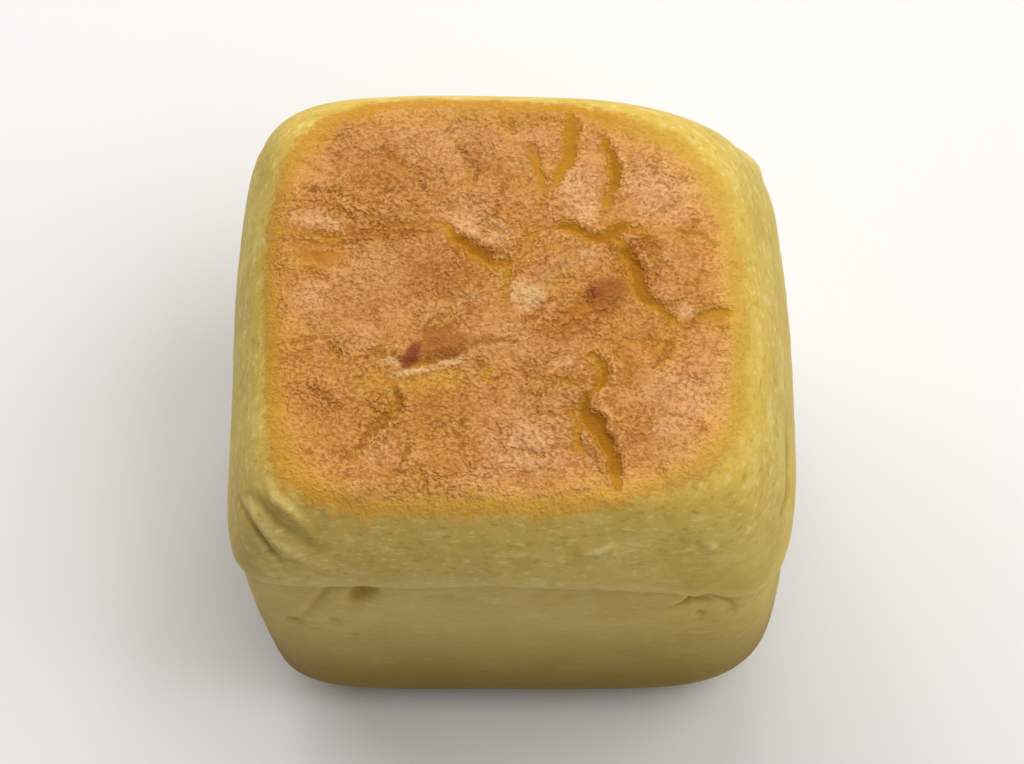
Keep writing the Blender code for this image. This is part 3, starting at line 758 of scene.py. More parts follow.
@dataclass
class CrownRelief:
    """The crown's cracks, knots, puckers and crinkle, and what its finish has to know of them."""

    form: Form
    cracks: tuple[Crack, ...] = field(default_factory=crown_cracks)
    swellings: tuple[Patch, ...] = field(default_factory=crown_swellings)
    blisters: Points = field(default_factory=rim_blisters)
    crust_half: float = 28 * MM
    crust_squareness: float = 3.4
    crust_fade: Pair = (0.9, 1.08)
    fade: Pair = (51 * MM, 55.5 * MM)
    pucker: float = 0.58 * MM
    pucker_length: float = 6.5 * MM
    dimple: float = 0.12 * MM
    dimple_length: float = 2.3 * MM
    crack_wander: float = 0.42 * MM
    crack_wander_length: float = 1.9 * MM
    crack_depth: float = 0.26
    gentle_wall: Pair = (-0.8 * MM, 0.5 * MM)
    steep_wall: Pair = (-0.5 * MM, 0.3 * MM)
    steep_side: Pair = (0.95, -0.31)
    bare_floor: Pair = (-0.1, 0.3)
    crack_taper: float = 1.1
    crack_thinnest: float = 0.2 * MM
    crack_uneven: float = 0.6
    crack_uneven_length: float = 1.7 * MM
    lips_away: float = 0.75 * MM
    lips_width: float = 0.5 * MM
    lips_outside: float = 0.4
    gentle_lip: float = 0.35
    full_lip: float = 0.3
    pad_sink: float = 0.36
    pad_round: float = 2.6 * MM
    # How far past a crack's edge its ochre and painted shade reach.
    stain_reach: float = 1.7 * MM
    trace_ends: float = 6 * MM
    seam_depth: float = 0.25 * MM
    seam_length: float = 5.2 * MM
    seam_warp: float = 1.1 * MM
    seam_width: float = 0.15
    seam_breaks: Pair = (-0.15, 0.35)
    crinkle: float = 0.035 * MM
    crinkle_length: float = 0.7 * MM
    crinkle_warp: float = 0.25 * MM
    crinkle_ridge: Pair = (-0.3, 0.3)
    crinkle_start: Pair = (1.0 * MM, 3.5 * MM)
    lip_crinkle: float = 0.8
    smooth_calm: float = 0.85
    shoulder_crinkle: float = 0.3
    shoulder_start: Pair = (-7 * MM, -1 * MM)
    blister_height: float = 0.2 * MM
    blister_radius: float = 0.85 * MM
    blister_edge: Pair = (0.3, 1.2)
    rim_bearings: tuple[float, ...] = (
        -178, -168, -157, -148, -138, -130, -123, -110, -92, -69, -58, -48, -39, -31, -19, -2,
        16, 30, 42, 55, 66, 81, 97, 112, 123, 131, 139, 146, 154, 167, 182,
    )  # fmt: skip
    rim_radii: tuple[float, ...] = (
        28.5, 28.5, 29.6, 32.0, 34.5, 35.1, 33.5, 30.0, 28.2, 29.4, 30.9, 32.6, 32.7, 31.1, 28.8, 27.4,
        28.0, 29.5, 30.4, 29.5, 28.7, 27.4, 27.7, 30.1, 31.8, 33.0, 33.0, 32.3, 31.1, 29.4, 28.5,
    )  # fmt: skip

    def inside_rim(self, smooth: np.ndarray, bearing: np.ndarray, reach: np.ndarray) -> np.ndarray:
        """How far inside the browned patch's rim each place lies, along the surface.

        Args:
            smooth: Places of the smooth bun; not used.
            bearing: Their bearings in radians.
            reach: Their lengths along the profile.

        Returns:
            The distances in metres, below 0 outside the rim.
        """
        lengths, half, _ = self.form.profile()
        rim = np.interp(np.degrees(bearing), self.rim_bearings, self.rim_radii) * MM
        rim_half = rim / self.form.spread(bearing, np.full(len(bearing), self.form.height))
        outward = np.argmax(half)
        return np.interp(rim_half, half[:outward], lengths[:outward]) - reach

    def raise_cracks(self, strayed: np.ndarray, relief: np.ndarray, marks: dict[Mark, np.ndarray]) -> None:
        """Cuts the cracks into the relief and notes their grooves and lips.

        Args:
            strayed: Places on the crown's level, moved a little by the wander of the cracks.
            relief: The heights so far, which are changed.
            marks: The marks so far, which are changed.
        """
        cut, sag, lip = np.zeros(len(relief)), np.zeros(len(relief)), np.zeros(len(relief))
        marks[Mark.CRACK_EDGE][:] = self.trace_ends / MM
        for crack in self.cracks:
            route = self.form.on_crown(crack.route)
            near = route.near(self.trace_ends, strayed)
            step, along = route.measure(strayed[near])
            away = np.linalg.norm(step, axis=1)
            share = swell_along(along, crack.peak)
            uneven = wave(strayed[near], self.crack_uneven_length, Noise.CRACK_UNEVEN)
            half_width = crack.half_width * MM * share**self.crack_taper * (1 + self.crack_uneven * uneven)
            edge = away - half_width
            side = step[:, :2] @ self.steep_side / np.maximum(half_width, self.crack_thinnest)
            steep = smooth_step(-1, 1, side)
            low = self.gentle_wall[0] + (self.steep_wall[0] - self.gentle_wall[0]) * steep
            high = self.gentle_wall[1] + (self.steep_wall[1] - self.gentle_wall[1]) * steep
            floor = (1 - smooth_step(low, high, edge)) * share
            lips = np.exp(-(((edge - self.lips_away) / self.lips_width) ** 2)) * share
            lips *= self.gentle_lip + (1 - self.gentle_lip) * steep
            cut[near] = np.maximum(cut[near], crack.depth * floor)
            sag[near] = np.maximum(sag[near], crack.depth * share * np.exp(-((away / self.pad_round) ** 2)))
            lip[near] = np.maximum(lip[near], crack.lips * lips)
            # The crack's mark fades out past its edge, spreading its ochre and painted shade.
            stain = np.exp(-((np.maximum(edge, 0) / self.stain_reach) ** 2))
            self.deepen(marks[Mark.CRACK_DEPTH], near, min(1.0, crack.depth) * np.sqrt(share) * stain)
            self.deepen(marks[Mark.CRACK_LIP], near, min(1.0, crack.lips / self.full_lip) * lips)
            closer = edge / MM < marks[Mark.CRACK_EDGE][near]
            marks[Mark.CRACK_SIDE][near] = np.where(closer, steep, marks[Mark.CRACK_SIDE][near])
            marks[Mark.CRACK_EDGE][near] = np.minimum(marks[Mark.CRACK_EDGE][near], edge / MM)
        outside = smooth_step(0, self.lips_outside, marks[Mark.CRACK_EDGE])
        relief += MM * (lip * outside - self.crack_depth * cut - self.pad_sink * sag)

    def deepen(self, mark: np.ndarray, near: np.ndarray, values: np.ndarray) -> None:
        """Notes values where they are larger than what a mark has."""
        mark[near] = np.maximum(mark[near], values)

    def seams(self, places: np.ndarray) -> np.ndarray:
        """Soft creases that wander over the crust.

        Args:
            places: Places on the crown's level.

        Returns:
            1 along the creases' middles, and 0 away from them.
        """
        warped = places + wander(places, self.seam_warp, 0.5 * self.seam_length, Noise.SEAM_WARP)
        line = np.abs(wave(warped, self.seam_length, Noise.SEAM))
        broken = smooth_step(*self.seam_breaks, wave(places, 1.3 * self.seam_length, Noise.SEAM_BREAKS))
        return (1 - smooth_step(0, self.seam_width, line)) * broken

    def crinkled(self, places: np.ndarray) -> np.ndarray:
        """Fine worm-like ridges, from 0 in their valleys to 1 on their crests."""
        warped = places + wander(places, self.crinkle_warp, 2 * self.crinkle_length, Noise.CRINKLE_WARP)
        return smooth_step(*self.crinkle_ridge, wave(warped, self.crinkle_length, Noise.CRINKLE))

    def raise_crown(
        self, smooth: np.ndarray, inside: np.ndarray, marks: dict[Mark, np.ndarray]
    ) -> np.ndarray:
        """Works out the crown's whole relief and fills in its marks.

        Args:
            smooth: Places of the smooth bun.
            inside: How far inside the rim each is.
            marks: The marks, which are changed.

        Returns:
            The height at each place.
        """
        top = smooth_step(*self.fade, smooth[:, 2])
        square = np.abs(smooth[:, :2] / self.crust_half) ** self.crust_squareness
        crusted = 1 - smooth_step(*self.crust_fade, square.sum(1) ** (1 / self.crust_squareness))
        flat = smooth.copy()
        flat[:, 2] = self.form.height
        stray = wander(flat, self.crack_wander, self.crack_wander_length, Noise.CRACK_WANDER)
        strayed = flat + stray * (1, 1, 0)
        relief = self.pucker * wave(flat, self.pucker_length, Noise.PUCKER) * crusted
        relief += self.dimple * wave(flat, self.dimple_length, Noise.DIMPLE) * crusted
        marks[Mark.SEAM][:] = self.seams(flat) * crusted * top
        relief -= self.seam_depth * marks[Mark.SEAM]
        self.raise_cracks(strayed, relief, marks)
        for swelling in self.swellings:
            relief += MM * swelling.share(strayed)
        for mark, patches in (
            (Mark.SMOOTH_SKIN, smooth_patches()),
            (Mark.KNOT, knots()),
            (Mark.KNOT_END, knot_ends()),
            (Mark.CREAM, cream_patches()),
            (Mark.PALE, pale_pads()),
            (Mark.BROWN, brown_places()),
            (Mark.OCHRE, ochre_places()),
        ):
            for patch in patches:
                marks[mark] = np.maximum(marks[mark], patch.share(strayed) * top)
        bare = 1 - smooth_step(*self.bare_floor, marks[Mark.CRACK_EDGE])
        plain = 1 - np.maximum(bare, self.smooth_calm * marks[Mark.SMOOTH_SKIN])
        skin = smooth_step(*self.crinkle_start, inside)
        skin = np.maximum(skin, self.shoulder_crinkle * smooth_step(*self.shoulder_start, inside))
        ridges = self.crinkled(smooth)
        marks[Mark.CRINKLE][:] = ridges
        sharper = 1 + self.lip_crinkle * marks[Mark.CRACK_LIP]
        relief += self.crinkle * (ridges - 0.5) * skin * plain * sharper
        for x, y in self.blisters:
            away = np.hypot(smooth[:, 0] - x * MM, smooth[:, 1] - y * MM) / self.blister_radius
            relief += self.blister_height * (1 - smooth_step(*self.blister_edge, away))
        return relief * top


@dataclass
class WallRelief:
    """The lip that runs round the walls, their folds and pits, and the soft waves of the skin."""

    form: Form
    folds: tuple[Fold, ...] = field(default_factory=wall_folds)
    lip_bearings: tuple[float, ...] = (
        -180, -150, -136, -132, -126, -117, -106, -96, -88, -80, -72, -62, -53, -46, -38, -20,
        20, 60, 100, 140, 180,
    )  # fmt: skip
    lip_heights: tuple[float, ...] = (
        43.0, 45.0, 44.3, 44.1, 44.5, 44.7, 45.3, 45.8, 45.6, 45.2, 44.8, 43.7, 41.4, 38.2, 38.6, 42.6,
        46.0, 44.5, 46.0, 43.5, 43.0,
    )  # fmt: skip
    lip_out: float = 0.55 * MM
    lip_undercut: float = 0.5 * MM
    lip_edge: float = 0.4 * MM
    lip_fade_up: float = 6 * MM
    lip_fade_down: float = 8 * MM
    lip_wander: float = 0.3 * MM
    lip_wander_length: float = 9 * MM
    lip_strength: float = 0.75
    lip_swell: float = 0.5
    lip_swell_length: float = 22 * MM
    fade: Pair = (54 * MM, 57 * MM)
    fold_fade: Pair = (56.4 * MM, 57.8 * MM)
    base_fade: Pair = (0.5 * MM, 6 * MM)
    wall_wave: float = 0.42 * MM
    wall_wave_length: float = 19 * MM
    fold_wander: float = 0.3 * MM
    fold_wander_length: float = 5.0 * MM
    fold_tip: float = 0.4
    trace_ends: float = 4
    crest_lumps: float = 0.22 * MM
    crest_lump_length: float = 1.9 * MM
    crest_least: float = 0.05
    low_wrinkle: float = 0.05 * MM
    low_wrinkle_length: float = 2.2 * MM
    low_wrinkle_stretch: float = 8
    low_wrinkle_start: Pair = (3 * MM, 9 * MM)
    low_wrinkle_end: Pair = (30 * MM, 40 * MM)
    skin_ripple: float = 0.035 * MM
    skin_ripple_length: float = 3.0 * MM

    def above_lip(self, places: np.ndarray) -> np.ndarray:
        """How far above the lip's line each place is.

        Args:
            places: Places of the smooth bun.

        Returns:
            The heights over the line, below 0 under it.
        """
        bearing = np.degrees(np.arctan2(places[:, 1], places[:, 0]))
        from_lip = places[:, 2] - np.interp(bearing, self.lip_bearings, self.lip_heights) * MM
        return from_lip + self.lip_wander * wave(places, self.lip_wander_length, Noise.LIP_WANDER)

    def lip(self, places: np.ndarray, from_lip: np.ndarray) -> np.ndarray:
        """The lip's height at each place, and its undercut below.

        Args:
            places: Places of the smooth bun.
            from_lip: How far above the lip's line each is.

        Returns:
            The height at each.
        """
        above = smooth_step(-self.lip_edge, self.lip_edge, from_lip)
        strength = self.lip_strength + self.lip_swell * wave(places, self.lip_swell_length, Noise.LIP_SWELL)
        lip = above * self.lip_out * np.exp(-((from_lip / self.lip_fade_up) ** 2))
        lip -= (1 - above) * self.lip_undercut * np.exp(-((from_lip / self.lip_fade_down) ** 2))
        return lip * strength

    def wrinkles(self, places: np.ndarray) -> np.ndarray:
        """Faint wrinkles that lie level on the lower walls, and a soft ripple of the whole skin.

        Args:
            places: Places of the smooth bun.

        Returns:
            The height at each.
        """
        squeezed = places / (self.low_wrinkle_stretch, self.low_wrinkle_stretch, 1)
        level = wave(squeezed, self.low_wrinkle_length, Noise.LOW_WRINKLE)
        low = smooth_step(*self.low_wrinkle_start, places[:, 2])
        low *= 1 - smooth_step(*self.low_wrinkle_end, places[:, 2])
        ripple = self.skin_ripple * wave(places, self.skin_ripple_length, Noise.SKIN_RIPPLE)
        return ripple + self.low_wrinkle * level * low

    def raise_walls(self, smooth: np.ndarray, marks: dict[Mark, np.ndarray]) -> np.ndarray:
        """Works out the walls' whole relief and notes the crests and valleys of their folds.

        Args:
            smooth: Places of the smooth bun.
            marks: The marks, which are changed.

        Returns:
            The height at each place.
        """
        standing = smooth_step(*self.base_fade, smooth[:, 2])
        below_crown = 1 - smooth_step(*self.fade, smooth[:, 2])
        from_lip = self.above_lip(smooth)
        marks[Mark.LIP_LINE] = from_lip / MM
        waves = self.wall_wave * wave(smooth, self.wall_wave_length, Noise.WALL_WAVE)
        slow = (self.lip(smooth, from_lip) + waves + self.wrinkles(smooth)) * below_crown
        relief = np.zeros(len(smooth))
        strayed = smooth + wander(smooth, self.fold_wander, self.fold_wander_length, Noise.FOLD_WANDER)
        for fold in self.folds:
            route = self.form.on_wall(fold.route)
            near = route.near(self.trace_ends * fold.half_width * MM, strayed)
            step, along = route.measure(strayed[near])
            away = np.linalg.norm(step, axis=1)
            share = swell_along(along, fold.peak)
            spread = fold.half_width * MM * (self.fold_tip + (1 - self.fold_tip) * share)
            trace = share * np.exp(-((away / spread) ** 2))
            relief[near] -= fold.depth * MM * trace
            mark = Mark.FOLD_VALLEY if fold.depth > 0 else Mark.FOLD_CREST
            marks[mark][near] = np.maximum(marks[mark][near], trace * min(1.0, abs(fold.depth)))
        crest = marks[Mark.FOLD_CREST] > self.crest_least
        lumps = np.zeros(len(smooth))
        lumps[crest] = wave(smooth[crest], self.crest_lump_length, Noise.CREST_LUMPS)
        relief += self.crest_lumps * lumps * marks[Mark.FOLD_CREST]
        return (slow + relief * (1 - smooth_step(*self.fold_fade, smooth[:, 2]))) * standing


class Value:
    """A number in a shader, which expressions add Math nodes to."""

    def __init__(self, tree: "ShaderTree", socket: bpy.types.NodeSocket) -> None:
        """Keeps the socket and the tree that it is in."""
        self.tree = tree
        self.socket = socket

    def _math(self, operation: str, *terms: "Value | float") -> "Value":
        """Adds one Math node.

        Args:
            operation: The node's operation.
            terms: What goes into it, in order.

        Returns:
            What comes out.
        """
        return self.tree.add("ShaderNodeMath", {"operation": operation}, dict(enumerate(terms)))

    def __add__(self, other: "Value | float") -> "Value":
        """This and the other together."""
        return self._math("ADD", self, other)

    def __radd__(self, other: float) -> "Value":
        """The other and this together."""
        return self._math("ADD", other, self)

    def __sub__(self, other: "Value | float") -> "Value":
        """This less the other."""
        return self._math("SUBTRACT", self, other)

    def __rsub__(self, other: float) -> "Value":
        """The other less this."""
        return self._math("SUBTRACT", other, self)

    def __mul__(self, other: "Value | float") -> "Value":
        """This times the other."""
        return self._math("MULTIPLY", self, other)

    def __rmul__(self, other: float) -> "Value":
        """The other times this."""
        return self._math("MULTIPLY", other, self)

    def __abs__(self) -> "Value":
        """This without its sign."""
        return self._math("ABSOLUTE", self)

    def at_least(self, other: "Value | float") -> "Value":
        """The larger of this and the other."""
        return self._math("MAXIMUM", self, other)

    def smooth(self, low: float, high: float) -> "Value":
        """A share that rises smoothly from 0 at one value to 1 at another.

        Args:
            low: Where the share is 0, which may be the larger of the two.
            high: Where the share is 1.

        Returns:
            The share.
        """
        limits = (low, high, 0.0, 1.0) if low < high else (high, low, 1.0, 0.0)
        return self.tree.add(
            "ShaderNodeMapRange",
            {"interpolation_type": "SMOOTHSTEP"},
            dict(enumerate((self, *limits))),
        )


Colour = tuple[float, float, float]


def paint(red: int, green: int, blue: int) -> Colour:
    """A colour as light, from the way that a screen names it.

    Args:
        red: Red from 0 to 255.
        green: Green from 0 to 255.
        blue: Blue from 0 to 255.

    Returns:
        The linear colour.
    """
    shares = [part / 255 for part in (red, green, blue)]
    return tuple(s / 12.92 if s <= 0.04045 else ((s + 0.055) / 1.055) ** 2.4 for s in shares)


class ShaderTree:
    """The nodes of one finish."""

    def __init__(self, name: str) -> None:
        """Starts a material of this name with its one surface shader."""
        self.material = bpy.data.materials.new(name)
        self.material.use_nodes = True
        self.nodes = self.material.node_tree.nodes
        self.links = self.material.node_tree.links
        self.surface = self.nodes["Principled BSDF"]
        self.place = self.nodes.new("ShaderNodeTexCoord").outputs["Object"]

    def put(self, socket: bpy.types.NodeSocket, given: object) -> None:
        """Links a value to a socket, or sets the socket.

        Args:
            socket: The socket to fill.
            given: A value, a socket, a colour or a number.
        """
        if isinstance(given, Value):
            given = given.socket
        if isinstance(given, bpy.types.NodeSocket):
            self.links.new(given, socket)
        elif isinstance(given, tuple) and len(socket.default_value) == 4:
            socket.default_value = (*given, 1.0)
        else:
            socket.default_value = given

    def add(
        self, kind: str, settings: dict[str, object], inputs: dict[object, object], output: object = 0
    ) -> Value:
        """Adds any node.

        Args:
            kind: The node's type.
            settings: Its own settings, which are made first.
            inputs: What its sockets get, by name or number.
            output: Which of its outputs is wanted, by name or number.

        Returns:
            The wanted output.
        """
        node = self.nodes.new(kind)
        for name, setting in settings.items():
            setattr(node, name, setting)
        for name, given in inputs.items():
            self.put(node.inputs[name], given)
        return Value(self, node.outputs[output])

    def mark(self, mark: Mark) -> Value:
        """What the mesh notes at each place."""
        return self.add("ShaderNodeAttribute", {"attribute_name": mark.value}, {}, "Fac")

    def clouds(
        self,
        length: float,
        detail: float = 2.0,
        rough: float = 0.5,
        warp: float = 0.0,
        place: bpy.types.NodeSocket | None = None,
    ) -> Value:
        """A smooth noise from 0 to 1 over the piece.

        Args:
            length: The size of its largest forms.
            detail: How many finer layers it has.
            rough: How strong the finer layers are.
            warp: How much it is bent.
            place: Where it is read, if not at the place itself.

        Returns:
            The noise.
        """
        inputs = {"Vector": place or self.place, "Scale": 1 / length, "Detail": detail, "Roughness": rough}
        return self.add("ShaderNodeTexNoise", {}, {**inputs, "Distortion": warp}, "Fac")

    def moved(self, operation: str, *terms: object) -> bpy.types.NodeSocket:
        """Adds one Vector Math node.

        Args:
            operation: The node's operation.
            terms: What goes into it, in order.

        Returns:
            What comes out.
        """
        inputs = dict(enumerate(terms))
        return self.add("ShaderNodeVectorMath", {"operation": operation}, inputs, "Vector").socket

    def drawn_out(self, length: float, amount: float) -> bpy.types.NodeSocket:
        """Places moved by a slow noise, so that what is read there is stretched one way or another.

        Args:
            length: The size of the noise's forms.
            amount: How far it moves a place at most.

        Returns:
            The moved places.
        """
        inputs = {"Vector": self.place, "Scale": 1 / length, "Detail": 0.0}
        slow = self.add("ShaderNodeTexNoise", {}, inputs, "Color")
        return self.moved("MULTIPLY_ADD", slow, (amount, amount, amount), self.place)

    def scaled(self, scale: tuple[float, float, float]) -> bpy.types.NodeSocket:
        """Places scaled along each axis, which draws out what is read there where the scale is small."""
        return self.moved("MULTIPLY", self.place, scale)

    def along(self, axis: str) -> Value:
        """How far along one axis each place is, in millimetres."""
        return self.add("ShaderNodeSeparateXYZ", {}, {0: self.place}, axis) * (1 / MM)

    def mix(self, share: Value | float, low: object, high: object) -> Value:
        """A colour between two others.

        Args:
            share: 0 for the first, 1 for the second.
            low: The first colour.
            high: The second colour.

        Returns:
            The colour.
        """
        node = self.nodes.new("ShaderNodeMix")
        node.data_type = "RGBA"
        names = ("Factor_Float", "A_Color", "B_Color")
        factor, first, second = (next(s for s in node.inputs if s.identifier == name) for name in names)
        for socket, given in ((factor, share), (first, low), (second, high)):
            self.put(socket, given)
        return Value(self, next(s for s in node.outputs if s.identifier == "Result_Color"))

    def layered(self, base: object, *layers: tuple[Value, object]) -> Value:
        """Lays colours over a base, one after another.

        Args:
            base: The lowest colour.
            layers: For each colour above it, how strongly it shows and what it is.

        Returns:
            The colour that shows in the end.
        """
        for share, colour in layers:
            base = self.mix(share, base, colour)
        return base


@dataclass(frozen=True)
class Blotches:
    """Soft spots from a noise: their size, finer layers, limits, strength, and how strong the layers are."""

    length: float
    detail: float
    limits: Pair
    strength: float
    rough: float = 0.5

    def share(self, tree: ShaderTree) -> Value:
        """How strongly the spots show at each place."""
        return tree.clouds(self.length, self.detail, self.rough).smooth(*self.limits) * self.strength


@dataclass(frozen=True)
class Torn:
    """A mark shown with a torn edge: the pushes of the slow and ragged noise, its limits and strength."""

    mark: Mark
    pushes: Pair
    limits: Pair = (0.1, 0.8)
    strength: float = 1.0

    def mask(self, tree: ShaderTree, slow: Value, ragged: Value) -> Value:
        """The mask that the mark makes.

        Args:
            tree: The finish's nodes.
            slow: A noise of broad forms round 0.
            ragged: A noise of small forms round 0.

        Returns:
            The mask.
        """
        pushed = tree.mark(self.mark) + slow * self.pushes[0] + ragged * self.pushes[1]
        return pushed.smooth(*self.limits) * self.strength


@dataclass(frozen=True)
class SkinLimits:
    """How marks and noises become masks: pushes by the noises, and limits in millimetres or shares."""

    slow: Clouds = (3.2 * MM, 3, 0.55)
    ragged: Clouds = (0.8 * MM, 2, 0.5)
    edge_pushes: Pair = (2.6, 2.2)
    crust: Pair = (0.6, 1.9)
    crusted: Pair = (-1.6, 0.4)
    amber: Pair = (-2.0, -0.2)
    near_amber: Pair = (4.8, 1.0)
    near_rim: Pair = (-9.0, -1.0)
    inner: Pair = (0.0, 3.5)
    inner_least: float = 0.55
    shoulder: Pair = (-15.0, -6.0)
    shoulder_least: float = 0.4
    right_side: Pair = (6.0, 24.0)
    left_side: Pair = (-18.0, -26.0)
    front_side: Pair = (-18.0, -27.0)
    left_loss: float = 0.8
    ridge: Pair = (0.5, 0.66)
    ridge_push: float = 0.06
    crease: Pair = (0.46, 0.32)
    grain: Pair = (0.52, 0.7)
    crack_pushes: Pair = (0.7, 0.8)
    crack_crinkle: float = 0.6
    sloping_wall: Pair = (0.45, -0.3)
    steep_wall: Pair = (0.16, -0.1)
    bare_strength: Pair = (0.4, 0.6)
    gentle_shift: float = 0.4
    # Painted shade: where the darker core of the cracks starts.
    deep: Pair = (0.3, -0.25)
    deep_strength: Pair = (0.6, 0.92)
    steep_shift: float = 0.8
    # Where the ochre round the cracks reaches, partly painted shade.
    stain: Pair = (1.8, 0.0)
    # Painted shade: the dark line of the weak cracks.
    line: Pair = (0.4, -0.15)
    line_strength: Pair = (0.08, 0.3)
    line_lost: Pair = (0.35, 0.6)
    line_loss: float = 0.8
    mottle_push: float = 1.4
    mottled: Pair = (-0.15, 0.4)
    smooth: Torn = Torn(Mark.SMOOTH_SKIN, (0.6, 0.6), (0.15, 0.85))
    smooth_calm: float = 0.85
    bare_calm: float = 0.6
    seam: Torn = Torn(Mark.SEAM, (0.0, 0.5), (0.15, 0.9))
    pale: Torn = Torn(Mark.PALE, (0.6, 0.0))
    brown: Torn = Torn(Mark.BROWN, (0.6, 0.0))
    ochre: Torn = Torn(Mark.OCHRE, (0.6, 0.0))
    knot: Torn = Torn(Mark.KNOT, (0.4, 0.45), (0.25, 0.75), 0.85)
    knot_end: Torn = Torn(Mark.KNOT_END, (0.4, 0.6), (0.2, 0.95), 0.95)
    cream_pushes: Pair = (2.0, 2.6)
    cream: Pair = (0.1, 0.85)
    wrinkled_length: float = 5 * MM
    wrinkled_brown: float = 0.1
    wrinkled: Pair = (0.38, 0.65)
    relief: Pair = (-2.2, 2.2)
    relief_shoulder: float = 0.15
    relief_least: float = 0.03
    lip_push: float = 0.6
    lip_breaks: Blotches = Blotches(6 * MM, 2, (0.35, 0.55), 1.0)
    lip_above: Pair = (-0.15, 0.15)
    # Painted highlight above the wall's lip, and painted shade under it.
    lip_light: Pair = (0.0, 0.35)
    lip_light_end: Pair = (2.6, 0.8)
    lip_dark: Pair = (0.12, -0.1)
    lip_dark_end: Pair = (-0.9, -0.15)
    # Painted shade in the fold valleys.
    fold_valley: Torn = Torn(Mark.FOLD_VALLEY, (0.3, 0.0), (0.05, 0.7))
    # Painted shade near the floor, partly browned bottom crust: darker towards the base, less on the right.
    heel_push: float = 2.5
    heel: Pair = (38.0, 8.0)
    heel_strength: float = 0.88
    heel_right: Pair = (14.0, 30.0)
    heel_right_loss: float = 0.16


